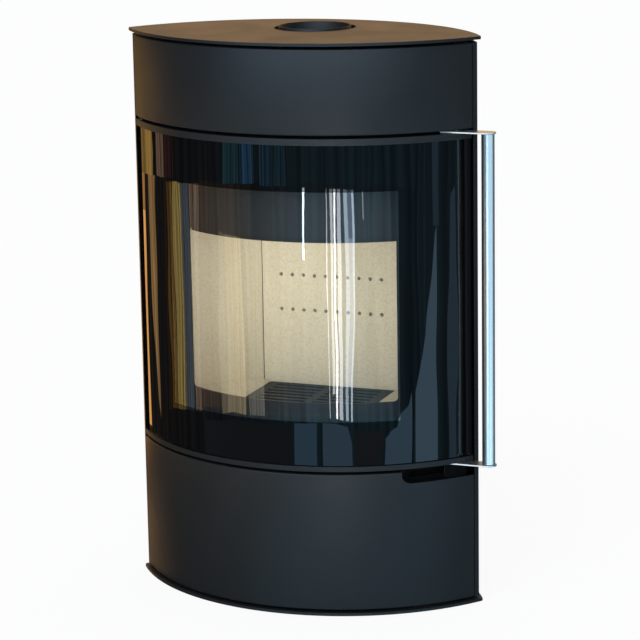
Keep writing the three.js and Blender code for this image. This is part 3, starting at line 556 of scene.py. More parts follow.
def mitred(u, v, w):
    """The board's ends lean in towards the rear, along the side boards."""
    lean = MITRE * (w - BOARD["front"]) if abs(u) > MITRE_FROM else 0
    return u - math.copysign(lean, u), w, v


middle = (AIR_HOLES["count"] - 1) / 2
air_holes = [
    ring(((i - middle) * AIR_HOLES["pitch"], z), AIR_HOLES["radius"], 24)
    for z in AIR_ROWS
    for i in range(AIR_HOLES["count"])
]
half, low, high = BOARD["half"], BOARD["low"], BOARD["high"]
board = [(-half, low), (half, low), (half, high), (-half, high)]
depth = (BOARD["front"], BOARD["rear"])
back_lining = solid("lining_board_back", board, *depth, air_holes, place=mitred)
dress(back_lining, "stove", "lining_stone", vermiculite, "lining_back", edge=0.7)

for node in ("lining_right", "lining_left", "baffle_stone"):
    carried(node, vermiculite, 1.0)
for node in ("base_brick_right", "base_brick_left", "base_brick_front"):
    carried(node, vermiculite, 1.0)

# Dark fibre strips fill the open joints to just below the face of the board, as painted shade in
# the joints.
JOINT = [(153.7, 151.4), (155.4, 151.4), (149.2, 169), (147.5, 169)]
JOINT_LOW, JOINT_HIGH = 371, 799.5
joint_shade_fibre = stove_paint("dark fibre strip as painted joint shade", "#231f1b", "#2c2823", 0.9, 1.6)
for side, name in ((1, "joint_strip_right"), (-1, "joint_strip_left")):
    strip = solid(name, [(side * x, y) for x, y in JOINT], JOINT_LOW, JOINT_HIGH)
    dress(strip, "stove", "seal_rope", joint_shade_fibre, edge=0)

# ---- Grate -----------------------------------------------------------------------------------
# Sand-cast iron with rows of long slots. It rests loose on the carrier plate between the bricks,
# blackened and rough, with soft edges.

GRATE = {"half": 139.7, "front": -15, "rear": 148, "low": 370.3, "top": 388, "round": 6}
GRATE_ROWS = 6
GRATE_MARGIN = 10
GRATE_SLOT = {"end": GRATE["half"] - 22, "bar": 8, "half": 5.5, "round": 5}
GRATE_PITCH = (GRATE["rear"] - GRATE["front"] - 2 * GRATE_MARGIN) / GRATE_ROWS

# Grains of about 1 mm from the mould, with a low dry gleam.
blackened_iron, tree = new_finish("blackened cast iron")
place = add(tree, "TexCoord").outputs["Object"]
grains = {"Vector": place, "Scale": 1000 / 1.2, "Detail": 4, "Roughness": 0.7}
sand = add(tree, "TexNoise", grains)
patch = add(tree, "TexNoise", {"Vector": place, "Scale": 1000 / 20, "Detail": 3})
tint = add(tree, "Mix", {0: patch, 6: linear("#1d1e20"), 7: linear("#2c2c2d")}, data_type="RGBA")
looks = {
    "Base Color": tint.outputs[2],
    "Metallic": 0.4,
    "Roughness": 0.6,
    "Normal": add(tree, "Bump", {"Strength": 0.5, "Distance": 0.0006, "Height": sand}),
}
add(tree, "OutputMaterial", {"Surface": add(tree, "BsdfPrincipled", looks)})

slots = []
end, bar = GRATE_SLOT["end"], GRATE_SLOT["bar"]
for row in range(GRATE_ROWS):
    y = GRATE["front"] + GRATE_MARGIN + GRATE_PITCH * (row + 0.5)
    near, far = y - GRATE_SLOT["half"], y + GRATE_SLOT["half"]
    for left, right in ((-end, -bar), (bar, end)):
        slots.append(rounded(left, near, right, far, GRATE_SLOT["round"]))
rim = rounded(-GRATE["half"], GRATE["front"], GRATE["half"], GRATE["rear"], GRATE["round"])
grate = solid("grate_casting", rim, GRATE["low"], GRATE["top"], slots)
dress(grate, "stove", "cast_iron", blackened_iron, "grate", edge=1.1)

# ---- Zinc-plated sheet parts -----------------------------------------------------------------
# Pressed and folded from zinc-plated sheet: the loose ash pan under the grate, the air duct and
# heat shield behind the firebox, and the clips that the front casings hang on. The fresh-air spigot
# is a flanged tube on the back of the pedestal, for a duct of 100 mm.

SPIGOT_FROM = 165
SPIGOT_FLANGE = [(48.5, 0.3), (62, 0.3), (62, 2.8), (SPIGOT_RADIUS, 2.8)]
SPIGOT_TUBE = [(SPIGOT_RADIUS, 62.2), (49.6, 63), (48.9, 63), (48.5, 62.4)]

# A pale grey metal with soft cloudy patches of 15 mm.
zinc = bare_metal("zinc-plated sheet", "#9b9d9c", "#b3b4b1", 15, 0.34, 0.5)
for node in ("ash_pan", "tertiary_air_duct", "rear_heat_shield"):
    carried(node, zinc)
for level in ("upper", "lower"):
    for hand in ("right", "left"):
        carried(f"casing_clip_{level}_{hand}", zinc)

spigot_foot = (0, SPIGOT_FROM, SPIGOT_HEIGHT)
spigot = lathe("air_inlet_tube", SPIGOT_FLANGE + SPIGOT_TUBE, spigot_foot, 96, axis="y")
dress(spigot, "stove", "zinc_steel", zinc, "fresh_air_spigot", edge=0)

# ---- Air control -----------------------------------------------------------------------------
# A slide plate in its housing behind the recess under the door, moved by a stem through the slotted
# panel with a broad tab to push with a finger. The lever is laser-cut stainless with bare edges.
# Its stem and the face of its tab are painted in the recess's near-black, as painted shade.

LEVER = {"from": 190, "to": 240, "face": 246.8, "low": 264, "high": 291, "round": 5, "sheet": 3}
STEM = {"from": 190.5, "to": 201.5, "low": 274, "high": 280, "round": 0.8, "end": 212}

# The same paint, darkened to near black as painted shade on the recess panel, the valve housing and
# the slide plate, with hardly any sheen.
painted_shade_black = stove_paint(
    "stove paint darkened as painted shade in the air recess", "#070809", "#0a0b0c", 0.75, shine=0.15
)
for node in ("air_recess_panel", "air_valve_housing", "air_slide_plate"):
    carried(node, painted_shade_black)


def brushed_stainless(name, colour, roughness, along):
    """Ground stainless steel: hairlines that run one way and stretch the highlights. They are about
    0.4 mm apart, drawn at 0.8 mm to show."""
    finish, tree = new_finish(name)
    place = add(tree, "TexCoord").outputs["Object"]
    stretch = (1, 1, 0.01) if along == "z" else (0.02, 1, 1)
    lines = add(tree, "Mapping", {"Vector": place, "Scale": stretch})
    hair = add(tree, "TexNoise", {"Vector": lines, "Scale": 1000 / 0.8, "Detail": 3})
    sheen = {0: hair, 1: 0.3, 2: 0.7, 3: roughness - 0.04, 4: roughness + 0.05}
    looks = {
        "Base Color": linear(colour),
        "Metallic": 1.0,
        "Roughness": add(tree, "MapRange", sheen),
        "Normal": add(tree, "Bump", {"Strength": 0.12, "Distance": 0.0002, "Height": hair}),
    }
    add(tree, "OutputMaterial", {"Surface": add(tree, "BsdfPrincipled", looks)})
    return finish


strip_stainless = brushed_stainless("stainless strip ground lengthways", "#c9ced0", 0.32, "x")


def levered(u, v, w):
    """The lever is drawn along its slot, which runs at 45 degrees to the front."""
    return (u - w) * math.sqrt(0.5), (u + w) * math.sqrt(0.5), v


tab_back = LEVER["sheet"] - LEVER["face"]
tab_outline = rounded(LEVER["from"], LEVER["low"], LEVER["to"], LEVER["high"], LEVER["round"])
tab = solid("lever_tab", tab_outline, -LEVER["face"], tab_back, place=levered)
stem_outline = rounded(STEM["from"], STEM["low"], STEM["to"], STEM["high"], STEM["round"])
stem = solid("lever_stem", stem_outline, tab_back, -STEM["end"], place=levered)
lever = joined([tab, stem])
dress(lever, "air_control", "stainless", strip_stainless, "air_lever", edge=0.5)
# The stem and the face of the tab take the near-black painted shade of the recess.
lever.data.materials.append(painted_shade_black)
for face in lever.data.polygons:
    along = (face.center.y - face.center.x) * math.sqrt(0.5) * 1000
    behind_tab = along > tab_back + 0.2
    if behind_tab or (face.normal.x > 0.6 and face.normal.y < -0.6):
        face.material_index = 1

# ---- Door rails ------------------------------------------------------------------------------
# Two rolled steel bars above and below the glass, in the casings' paint. A pocket in each takes the
# edge of the glass, and their left ends are round about the hinge.

DOOR_LOW = 298
DOOR_TOP = 964
HINGE = (-344, -19.2)
RAIL = {"end": 360, "rear": 45, "rear_end": 330}
RAIL_CORNER = [(358, -4), (349, 4.9)]
POCKET = {"outer": 11.5, "inner": 16.6, "x_end": 357.5}

rail_face = arc(FRONT, CASING_INSET, -RAIL["end"], RAIL["end"])
rail_rear = arc(FRONT, RAIL["rear"], RAIL["rear_end"], -RAIL["rear_end"])
rise = (rail_face[0][0] - HINGE[0], rail_face[0][1] - HINGE[1])
reach = math.hypot(*rise)
start = math.atan2(rise[1], rise[0])
turns = [math.pi / 2 + (start - math.pi / 2) * i / 16 for i in range(16)]
round_end = [(HINGE[0] + reach * math.cos(a), HINGE[1] + reach * math.sin(a)) for a in turns]
rail_plan = rail_face + RAIL_CORNER + rail_rear + round_end
for name, node, low, high, pocket_low, pocket_high in (
    ("rail_under_glass", "door_rail_bottom", DOOR_LOW, DOOR_LOW + 10, 303.5, 313),
    ("rail_over_glass", "door_rail_top", DOOR_TOP - 13, DOOR_TOP, 946, 955.5),
):
    rail = solid(name, rail_plan, low, high)
    cut(rail, sheet("tool", **POCKET, low=pocket_low, high=pocket_high))
    dress(rail, "door", "casing_paint", anthracite_paint, node, edge=0.7)

# ---- Door glass ------------------------------------------------------------------------------
# One pane of 4 mm glass ceramic, bent to the front arc and bedded in the rails on a fibre tape. A
# black enamel is printed on its back all round the clear field, and the clear field has a coating
# that throws the fire's heat back.

GLASS = {"front": 12, "rear": 16, "half": 356, "low": 304, "high": 955, "columns": 178}
CLEAR = {"half": 243, "low": 398, "high": 859, "r": 8}
PRINT = {"outer": 16.3, "inner": 16.9, "x_end": 354, "low": 309, "high": 950}


def glass_pane():
    """The bent pane, with lines in its mesh along the edges of the clear field."""
    half, steps = GLASS["half"], GLASS["columns"]
    even = {round(-half + 2 * half * i / steps, 3) for i in range(steps + 1)}
    columns = sorted(even | {-CLEAR["half"], CLEAR["half"]})
    tall_field = CLEAR["high"] - CLEAR["low"]
    field = [CLEAR["low"] + tall_field * i / 8 for i in range(1, 8)]
    rows = [GLASS["low"], CLEAR["low"], *field, CLEAR["high"], GLASS["high"]]
    points = []
    for inset in (GLASS["front"], GLASS["rear"]):
        radius = FRONT["radius"] - inset
        for x in columns:
            a = math.asin(x / (FRONT["radius"] - GLASS["front"]))
            for z in rows:
                points.append((radius * math.sin(a), FRONT["centre"] - radius * math.cos(a), z))
    wide, tall = len(columns), len(rows)
    back = wide * tall
    faces = []
    for i in range(wide - 1):
        for j in range(tall - 1):
            a, b = i * tall + j, (i + 1) * tall + j
            faces.append((a, b, b + 1, a + 1))
            faces.append((back + a, back + b, back + b + 1, back + a + 1))
    for i in range(wide - 1):
        for j in (0, tall - 1):
            a, b = i * tall + j, (i + 1) * tall + j
            faces.append((a, b, back + b, back + a))
    for i in (0, wide - 1):
        for j in range(tall - 1):
            a = i * tall + j
            faces.append((a, a + 1, back + a + 1, back + a))
    return mesh_object("pane_of_glass", points, faces)


def bending_ripple(tree, place):
    """The faint upright ripple that bending leaves in polished glass, about 60 mm apart."""
    squeezed = add(tree, "Mapping", {"Vector": place, "Scale": (1.0, 1.0, 0.16)})
    ripple = add(tree, "TexNoise", {"Vector": squeezed, "Scale": 1000 / 60, "Detail": 1.0})
    return add(tree, "Bump", {"Strength": 0.5, "Distance": 0.0022, "Height": ripple})


def bent_glass(name, mirror, tint):
    """Bent glass ceramic, clear and polished. Lamps and daylight pass through it. It mirrors more
    at a shallow angle, and the coated face more than the plain one."""
    finish, tree = new_finish(name)
    relief = bending_ripple(tree, add(tree, "TexCoord").outputs["Object"])
    fresnel = add(tree, "Fresnel", {"IOR": mirror, "Normal": relief})
    backfacing = add(tree, "NewGeometry").outputs["Backfacing"]
    front = add(tree, "Math", {0: 1.0, 1: backfacing}, operation="SUBTRACT")
    amount = add(tree, "Math", {0: fresnel, 1: front}, operation="MULTIPLY")
    clear = add(tree, "BsdfTransparent", {"Color": linear(tint)})
    polish = {"Color": (1, 1, 1, 1), "Roughness": 0.012, "Normal": relief}
    mixed = add(tree, "MixShader", {0: amount, 1: clear, 2: add(tree, "BsdfGlossy", polish)})
    add(tree, "OutputMaterial", {"Surface": mixed})
    return finish


def enamel(name, dark, pale, through_glass):
    """Screen-printed black enamel, fired on: deep black, very slightly mottled every 2.5 mm. Seen
    through the glass it has the pane's clear, rippled polish, and on its own hardly any sheen."""
    finish, tree = new_finish(name)
    place = add(tree, "TexCoord").outputs["Object"]
    dots = add(tree, "TexNoise", {"Vector": place, "Scale": 1000 / 2.5, "Detail": 2})
    tint = add(tree, "Mix", {0: dots, 6: linear(dark), 7: linear(pale)}, data_type="RGBA")
    looks = {"Base Color": tint.outputs[2], "IOR": 1.5}
    if through_glass:
        looks |= {"Roughness": 0.012, "Normal": bending_ripple(tree, place)}
    else:
        looks |= {"Roughness": 0.5, "Specular IOR Level": 0.05}
    add(tree, "OutputMaterial", {"Surface": add(tree, "BsdfPrincipled", looks)})
    return finish


coated_glass = bent_glass("glass ceramic with heat-mirror coating", 2.25, "#f6f8f7")
plain_glass = bent_glass("polished glass ceramic", 1.5, "#ffffff")
printed_glass = enamel("polished glass ceramic over black enamel", "#030405", "#050607", True)
black_enamel = enamel("black enamel print", "#040506", "#060708", False)

pane = glass_pane()
dress(pane, "door", "clear_glass", plain_glass, "door_glass", edge=0)
pane.data.materials.append(coated_glass)
pane.data.materials.append(printed_glass)
front_face = FRONT["radius"] - GLASS["front"] - 1.5
for face in pane.data.polygons:
    x, y, z = (c * 1000 for c in face.center)
    if math.hypot(x, y - FRONT["centre"]) > front_face:
        in_field = abs(x) < CLEAR["half"] and CLEAR["low"] < z < CLEAR["high"]
        face.material_index = 1 if in_field else 2

border = sheet("print_round_window", **PRINT)
cut(border, window_tool(**CLEAR))
dress(border, "door", "black_print", black_enamel, "glass_print_border", edge=0)

# Braided glass fibre, graphited dark grey: strands of about 2 mm that cross on the slant.
fibre_rope, tree = new_finish("graphited glass-fibre rope")
place = add(tree, "TexCoord").outputs["Object"]
braid = {"Vector": place, "Scale": 1000 / 14, "Distortion": 1.5}
strand = add(tree, "TexWave", braid, bands_direction="DIAGONAL").outputs["Fac"]
fuzz = add(tree, "TexNoise", {"Vector": place, "Scale": 1000 / 0.8, "Detail": 3})
tint = add(tree, "Mix", {0: strand, 6: linear("#3b3936"), 7: linear("#565350")}, data_type="RGBA")
looks = {
    "Base Color": tint.outputs[2],
    "Roughness": 0.95,
    "Sheen Weight": 0.3,
    "Normal": add(tree, "Bump", {"Strength": 0.7, "Distance": 0.0008, "Height": fuzz}),
}
add(tree, "OutputMaterial", {"Surface": add(tree, "BsdfPrincipled", looks)})
carried("glass_seal_tape", fibre_rope)

# ---- Door frame ------------------------------------------------------------------------------
# Two stiles between the rails, a folded inner frame and the channel for the seal, all welded steel
# in black stove paint. Five blackened screws go up through the fold of the frame, and one through
# each rail into the left stile.

for node in ("door_stile_right", "door_stile_left", "door_inner_frame", "door_seal_channel"):
    carried(node, black_steel)


def on_front_arc(x, inset, z):
    """Point on the front arc and the direction from there to the inside of the stove."""
    r = FRONT["radius"] - inset
    a = math.asin(x / r)
    return (x, FRONT["centre"] - r * math.cos(a), z), (-math.sin(a), math.cos(a), 0)


UP, DOWN = (0, 0, 1), (0, 0, -1)
FOLD = {"inset": 34, "z": 947}
FOLD_HEAD = {"radius": 3.6, "height": 2.0}
STILE = {"x": -324, "inset": 21.8}
STILE_HEAD = {"radius": 3.4, "height": 0.9}
spots = [(on_front_arc(x, **FOLD)[0], DOWN) for x in (-240, -120, 0, 120, 240)]
frame_screws = screws("door_frame_screws", spots, **FOLD_HEAD)
dress(frame_screws, "door", "dark_steel", blackened, edge=0)
ends = ((DOOR_TOP, UP), (DOOR_LOW, DOWN))
spots = [(on_front_arc(**STILE, z=z)[0], out) for z, out in ends]
stile_screws = screws("door_stile_screws", spots, **STILE_HEAD)
dress(stile_screws, "door", "dark_steel", blackened, edge=0)

# ---- Rope seal -------------------------------------------------------------------------------
# A braided rope of 11 mm is glued in the channel behind the glass, its two ends butted together.
# The closed door presses it on the firebox front.

SEAL = {"half": 257, "low": 318, "high": 873, "round": 38, "inset": 55.5}
ROPE = {"spacing": 2.4, "sides": 20, "radius": 4.65, "stretch": 1.08}
ROPE |= {"squareness": 1.12, "weave": 0.32}


def rope_path():
    """Evenly spaced points (x, z) round the seal's outline."""
    corners = rounded(-SEAL["half"], SEAL["low"], SEAL["half"], SEAL["high"], SEAL["round"], 24)
    corners.append(corners[0])
    path, left = [], 0.0
    for (u0, v0), (u1, v1) in zip(corners, corners[1:]):
        length = math.hypot(u1 - u0, v1 - v0)
        while left < length:
            share = left / length
            path.append((u0 + (u1 - u0) * share, v0 + (v1 - v0) * share))
            left += ROPE["spacing"]
        left -= length
    return path


def braided_rope():
    """A nearly square tube round the seal's path. Two sets of strands wind opposite ways."""
    path = rope_path()
    count, sides = len(path), ROPE["sides"]
    rows = []
    for i, (x, z) in enumerate(path):
        (next_x, next_z), (last_x, last_z) = path[(i + 1) % count], path[i - 1]
        tangent = Vector((next_x - last_x, 0, next_z - last_z)).normalized()
        r = FRONT["radius"] - SEAL["inset"]
        a = math.asin(x / r)
        outward = Vector((math.sin(a), -math.cos(a), 0))
        across = tangent.cross(outward).normalized()
        middle = Vector((r * math.sin(a), FRONT["centre"] - r * math.cos(a), z))
        row = []
        for t in (2 * math.pi * j / sides for j in range(sides)):
            square = (abs(math.cos(t)) ** 4 + abs(math.sin(t)) ** 4) ** -0.25
            weave = ROPE["weave"] * math.sin(3 * t + i * 0.9) * math.sin(3 * t - i * 0.9)
            size = ROPE["radius"] * min(square, ROPE["squareness"]) + weave
            out = outward * size * math.cos(t) * ROPE["stretch"]
            row.append(tuple(middle + out + across * size * math.sin(t)))
        rows.append(row)
    return skinned("seal_rope", rows, closed=True)


rope = braided_rope()
dress(rope, "door", "seal_rope", fibre_rope, "door_rope_seal", edge=0, smooth=60)

# ---- Hinge and latch -------------------------------------------------------------------------
# Lugs welded on the left post hold zinc-plated pins, which turn in brass bushes in the rails. On
# the right a zinc-plated tongue, screwed on the door's stile, passes a brass roller on its bracket.

for node in ("hinge_lug_top", "hinge_lug_bottom"):
    carried(node, black_steel)
for node in ("hinge_pin_top", "hinge_pin_bottom", "latch_bracket", "door_latch_tongue"):
    carried(node, zinc)

# Plain turned brass, dulled a little by the heat, unevenly over about 6 mm.
brass = bare_metal("turned brass", "#b08d4c", "#a27e42", 6, 0.28, 0.42, spread=(0, 1))
for node in ("hinge_bush_top", "hinge_bush_bottom", "latch_roller"):
    carried(node, brass)

BRACKET_FACE = {"x": 320.3, "y": 18.2, "z": (620, 640)}
TONGUE_FOOT = {"x": 331.5, "inset": 29.3}
spots = [((BRACKET_FACE["x"], BRACKET_FACE["y"], z), (1, 0, 0)) for z in BRACKET_FACE["z"]]
bracket_screws = screws("latch_bracket_screws", spots, radius=2.8, height=1.6)
dress(bracket_screws, "stove", "dark_steel", blackened, edge=0)
spots = [on_front_arc(**TONGUE_FOOT, z=z) for z in (608, 652)]
tongue_screws = screws("latch_tongue_screws", spots, radius=3.4, height=1.9)
dress(tongue_screws, "door", "dark_steel", blackened, edge=0)

# ---- Handle ----------------------------------------------------------------------------------
# A stainless tube of 26 mm stands between two flat 3 mm brackets, each fixed to its rail with two
# low raised-head screws. The tube is ground along its length, so its highlights run unbroken from
# top to bottom.

HANDLE = (398, -28)
TUBE_PROFILE = [(11, 298.4), (12.4, 298.2), (13, 298.9), (13, 963.1), (12.4, 963.8), (11, 963.6)]
BRACKET = {"root": 305, "width": 16, "sheet": 3, "top": 964.3, "bottom": 294.7}
BRACKET_HOLES = ((314, -35), (334, -28))

ground_stainless = brushed_stainless("stainless tube ground lengthways", "#c9d1d5", 0.27, "z")
handle = lathe("handle_bar", TUBE_PROFILE, (*HANDLE, 0), 64)
dress(handle, "door", "stainless", ground_stainless, "handle_tube", edge=0, smooth=30)

width = BRACKET["width"]
turns = [math.radians(-90 + 7.5 * i) for i in range(25)]
bracket_plan = [
    (BRACKET["root"], HANDLE[1] - width),
    *[(HANDLE[0] + width * math.cos(a), HANDLE[1] + width * math.sin(a)) for a in turns],
    (329, HANDLE[1] + width),
    (BRACKET["root"], HANDLE[1] - 4),
]
arms = []
for level, out in (("top", UP), ("bottom", DOWN)):
    low, high = BRACKET[level], BRACKET[level] + BRACKET["sheet"]
    arm = solid(f"handle_arm_{level}", bracket_plan, low, high)
    dress(arm, "door", "stainless", strip_stainless, f"handle_bracket_{level}", edge=0.5)
    arms.append(arm)
    spots = [((x, y, high if out == UP else low), out) for x, y in BRACKET_HOLES]
    arm_screws = screws(f"handle_screws_{level}", spots, radius=4.6, height=1.1)
    dress(arm_screws, "door", "stainless", strip_stainless, edge=0)

# ---- Studio ----------------------------------------------------------------------------------
# A plain white floor under an even sky, with one wide soft lamp from the front and two narrow ones
# through the window. A tent of cards that only reflections see stands round the stove, as when
# glass is photographed.

CARD_RADIUS = 1500
REFLECTOR_RADIUS = 1400
TENT_RADIUS = 1600
BAND_RADIUS = 1550
TENT_LOW, TENT_HIGH, TENT_HALF = -1500, 2300, 1700
FLOOR_REACH = 60000


def is_seen(tree):
    """One for a camera, mirror or transmission ray, and nought for rays that light the stove."""
    rays = add(tree, "LightPath").outputs
    direct = {0: rays["Is Camera Ray"], 1: rays["Is Glossy Ray"]}
    either = {0: add(tree, "Math", direct, operation="MAXIMUM"), 1: rays["Is Transmission Ray"]}
    return add(tree, "Math", either, operation="MAXIMUM")


def staged(name, points, faces, finish):
    """A studio surface from points in millimetres. It isn't part of the stove."""
    mesh = bpy.data.meshes.new(name)
    mesh.from_pydata([(x / 1000, y / 1000, z / 1000) for x, y, z in points], [], faces)
    mesh.materials.append(finish)
    made = bpy.data.objects.new(name, mesh)
    bpy.context.scene.collection.objects.link(made)
    return made


def level_square(half, z):
    """Points and face of a level square round the stove."""
    corners = ((-1, -1), (1, -1), (1, 1), (-1, 1))
    return [(x * half, y * half, z) for x, y in corners], [(0, 1, 2, 3)]


# Mostly its own even white to the camera, with a soft trace of the shadow.
matte_white, tree = new_finish("matte white floor")
place = add(tree, "TexCoord").outputs["Object"]
mottle = add(tree, "TexNoise", {"Vector": place, "Scale": 3.0})
tint = add(tree, "Mix", {0: mottle, 6: linear("#fbfbfb"), 7: linear("#fdfdfd")}, data_type="RGBA")
matte = add(tree, "BsdfDiffuse", {"Color": tint.outputs[2]})
white = add(tree, "Emission", {"Color": (1, 1, 1, 1), "Strength": 1.0})
share = add(tree, "Math", {0: is_seen(tree), 1: 0.9}, operation="MULTIPLY")
mixed = add(tree, "MixShader", {0: share, 1: matte, 2: white})
add(tree, "OutputMaterial", {"Surface": mixed})
floor = staged("studio_floor", *level_square(FLOOR_REACH, 0), matte_white)
floor.visible_glossy = False

world = bpy.data.worlds.new("studio sky")
bpy.context.scene.world = world
world.use_nodes = True
sky = world.node_tree
sky.nodes.clear()
level = add(sky, "MapRange", {0: is_seen(sky), 3: 0.62, 4: 1.0})
light = add(sky, "Background", {"Color": (1, 1, 1, 1), "Strength": level})
add(sky, "OutputWorld", {"Surface": light})

sun_data = bpy.data.lights.new("soft front lamp", "SUN")
sun_data.energy = 1.6
sun_data.color = (0.88, 0.97, 1.08)
sun_data.angle = math.radians(60)
sun = bpy.data.objects.new("soft_front_lamp", sun_data)
bpy.context.scene.collection.objects.link(sun)
sun.rotation_euler = (math.radians(62), 0, math.radians(3))

for name, watts, spread, place, target in (
    ("window_lamp", 165, 19, (0.55, -1.85, 0.85), (0.0, 0.15, 0.69)),
    ("window_side_lamp", 150, 15, (1.2, -1.3, 0.72), (-0.13, 0.16, 0.69)),
):
    spot_data = bpy.data.lights.new(name, "SPOT")
    spot_data.energy = watts
    spot_data.spot_size = math.radians(spread)
    spot_data.spot_blend = 1.0
    spot_data.shadow_soft_size = 0.25
    spot = bpy.data.objects.new(name, spot_data)
    bpy.context.scene.collection.objects.link(spot)
    spot.location = place
    spot.rotation_euler = (Vector(target) - Vector(place)).to_track_quat("-Z", "Y").to_euler()
    spot.visible_glossy = False


def mirrored_only(made):
    """Keeps a card out of sight of everything but mirror reflections."""
    made.visible_camera = False
    made.visible_diffuse = False
    made.visible_transmission = False
    made.visible_shadow = False
    made.data.materials[0].cycles.emission_sampling = "NONE"
    return made


def upright_folds(tree, scale, dark, bright):
    """Azimuth round the stove, and light that varies with it as on cloth in upright folds."""
    place = add(tree, "TexCoord").outputs["Object"]
    parts = add(tree, "SeparateXYZ", {0: place}).outputs
    front = add(tree, "Math", {0: parts["Y"], 1: -1.0}, operation="MULTIPLY")
    turn = add(tree, "Math", {0: parts["X"], 1: front}, operation="ARCTAN2")
    fold = {"W": turn, "Scale": scale, "Detail": 3.0}
    cloth = add(tree, "TexNoise", fold, noise_dimensions="1D")
    return turn, add(tree, "MapRange", {0: cloth, 1: 0.38, 2: 0.62, 3: dark, 4: bright})


def tent_finish(name, stops):
    """Cloth of the tent in upright folds about 3 degrees wide. Stops give its colour by azimuth."""
    finish, tree = new_finish(name)
    turn, depth = upright_folds(tree, 17.0, 0.6, 1.35)
    share = add(tree, "MapRange", {0: turn, 1: -math.pi, 2: math.pi})
    places = [((azimuth + 180) / 360, (*colour, 1.0)) for azimuth, colour in stops]
    tone = add(tree, "ValToRGB", {0: share}, stops=places)
    glow = add(tree, "Emission", {"Color": tone, "Strength": depth})
    add(tree, "OutputMaterial", {"Surface": glow})
    return finish


def glowing_cloth(name, colour, strength, folds=None):
    """Evenly lit cloth, or with folds about 1 degree wide between a dark and a bright share."""
    finish, tree = new_finish(name)
    if folds:
        strength = upright_folds(tree, 55.0, folds[0] * strength, folds[1] * strength)[1]
    glow = add(tree, "Emission", {"Color": linear(colour), "Strength": strength})
    add(tree, "OutputMaterial", {"Surface": glow})
    return finish


def clear_glow(name, colour, strength):
    """Light that is seen only by what it is linked to. Everything else looks through it."""
    finish, tree = new_finish(name)
    glow = add(tree, "Emission", {"Color": linear(colour), "Strength": strength})
    clear = add(tree, "BsdfTransparent", {"Color": (1, 1, 1, 1)})
    add(tree, "OutputMaterial", {"Surface": add(tree, "AddShader", {0: glow, 1: clear})})
    return finish


def round_wall(edge, radius):
    """Points and faces of an upright wall round the stove, from (azimuth, low, high) along its
    edge. Azimuth 0 is in front of the stove and +90 on its right."""
    rows = []
    for (a0, low0, high0), (a1, low1, high1) in zip(edge, edge[1:]):
        steps = max(1, math.ceil((a1 - a0) / 4))
        for s in (i / steps for i in range(steps)):
            rows.append((a0 + (a1 - a0) * s, low0 + (low1 - low0) * s, high0 + (high1 - high0) * s))
    rows.append(edge[-1])
    points, faces = [], []
    for i, (azimuth, low, high) in enumerate(rows):
        a = math.radians(azimuth)
        points += [(radius * math.sin(a), -radius * math.cos(a), z) for z in (low, high)]
        if i:
            faces.append((2 * i - 2, 2 * i, 2 * i + 1, 2 * i - 1))
    return points, faces


def card(name, colour, strength, edge, folds=None):
    """Upright curved card or cloth that shows only in reflections."""
    finish = glowing_cloth(name, colour, strength, folds)
    return mirrored_only(staged(name, *round_wall(edge, CARD_RADIUS), finish))


# Reflectors held beside the handle, which only the tube or only its two brackets mirror.
lit_tube = bpy.data.collections.new("lit by the tube reflectors")
lit_brackets = bpy.data.collections.new("lit by the bracket reflectors")
lit_tube.objects.link(handle)
for arm in arms:
    lit_brackets.objects.link(arm)
for name, colour, strength, azimuths, lit in (
    ("reflector_grey", "#b4b9bd", 0.75, (-135, -85), lit_tube),
    ("reflector_white", "#f4faff", 1.06, (1, 20), lit_tube),
    ("reflector_blue", "#d4efff", 1.0, (20, 98), lit_tube),
    ("reflector_warm", "#fff4e8", 1.15, (-60, 15), lit_brackets),
    ("reflector_cool", "#d4efff", 0.9, (15, 98), lit_brackets),
):
    wall = round_wall([(azimuth, -900, 1600) for azimuth in azimuths], REFLECTOR_RADIUS)
    reflector = mirrored_only(staged(name, *wall, clear_glow(name, colour, strength)))
    reflector.light_linking.receiver_collection = lit

# The wall of the tent is grey behind the stove, near black on the left and slate blue in front and
# right.
WALL_STOPS = [
    (-180, (0.30, 0.30, 0.31)),
    (-150, (0.28, 0.28, 0.28)),
    (-135, (0.46, 0.31, 0.17)),
    (-125, (0.40, 0.24, 0.11)),
    (-117, (0.035, 0.028, 0.022)),
    (-85, (0.045, 0.038, 0.035)),
    (-50, (0.065, 0.078, 0.088)),
    (-30, (0.06, 0.10, 0.12)),
    (0, (0.07, 0.16, 0.20)),
    (40, (0.07, 0.18, 0.24)),
    (65, (0.07, 0.16, 0.21)),
    (110, (0.10, 0.14, 0.16)),
    (135, (0.18, 0.18, 0.19)),
    (155, (0.27, 0.27, 0.28)),
    (180, (0.30, 0.30, 0.31)),
]
# A lighter band at the height that the clear field of the glass mirrors.
BAND_STOPS = [
    (-180, (0.90, 0.58, 0.30)),
    (-100, (0.06, 0.05, 0.04)),
    (-62, (0.17, 0.095, 0.05)),
    (-50, (0.155, 0.115, 0.07)),
    (-38, (0.145, 0.115, 0.08)),
    (-28, (0.045, 0.052, 0.058)),
    (-14, (0.08, 0.10, 0.11)),
    (-3, (0.07, 0.12, 0.16)),
    (30, (0.065, 0.145, 0.19)),
    (60, (0.06, 0.115, 0.16)),
    (110, (0.06, 0.10, 0.12)),
    (180, (0.90, 0.58, 0.30)),
]
wall = round_wall([(azimuth, TENT_LOW, TENT_HIGH) for azimuth in (-180, 180)], TENT_RADIUS)
mirrored_only(staged("tent_wall", *wall, tent_finish("draped tent cloth", WALL_STOPS)))
band = round_wall([(-63, 64, 645), (60, 64, 645)], BAND_RADIUS)
mirrored_only(staged("tent_band", *band, tent_finish("lighter band of the tent", BAND_STOPS)))
for name, finish, colour, z in (
    ("tent_roof", "tent roof", "#575352", TENT_HIGH),
    ("tent_foot", "tent foot", "#232c33", TENT_LOW),
):
    cloth = glowing_cloth(finish, colour, 1.0)
    mirrored_only(staged(name, *level_square(TENT_HALF, z), cloth))

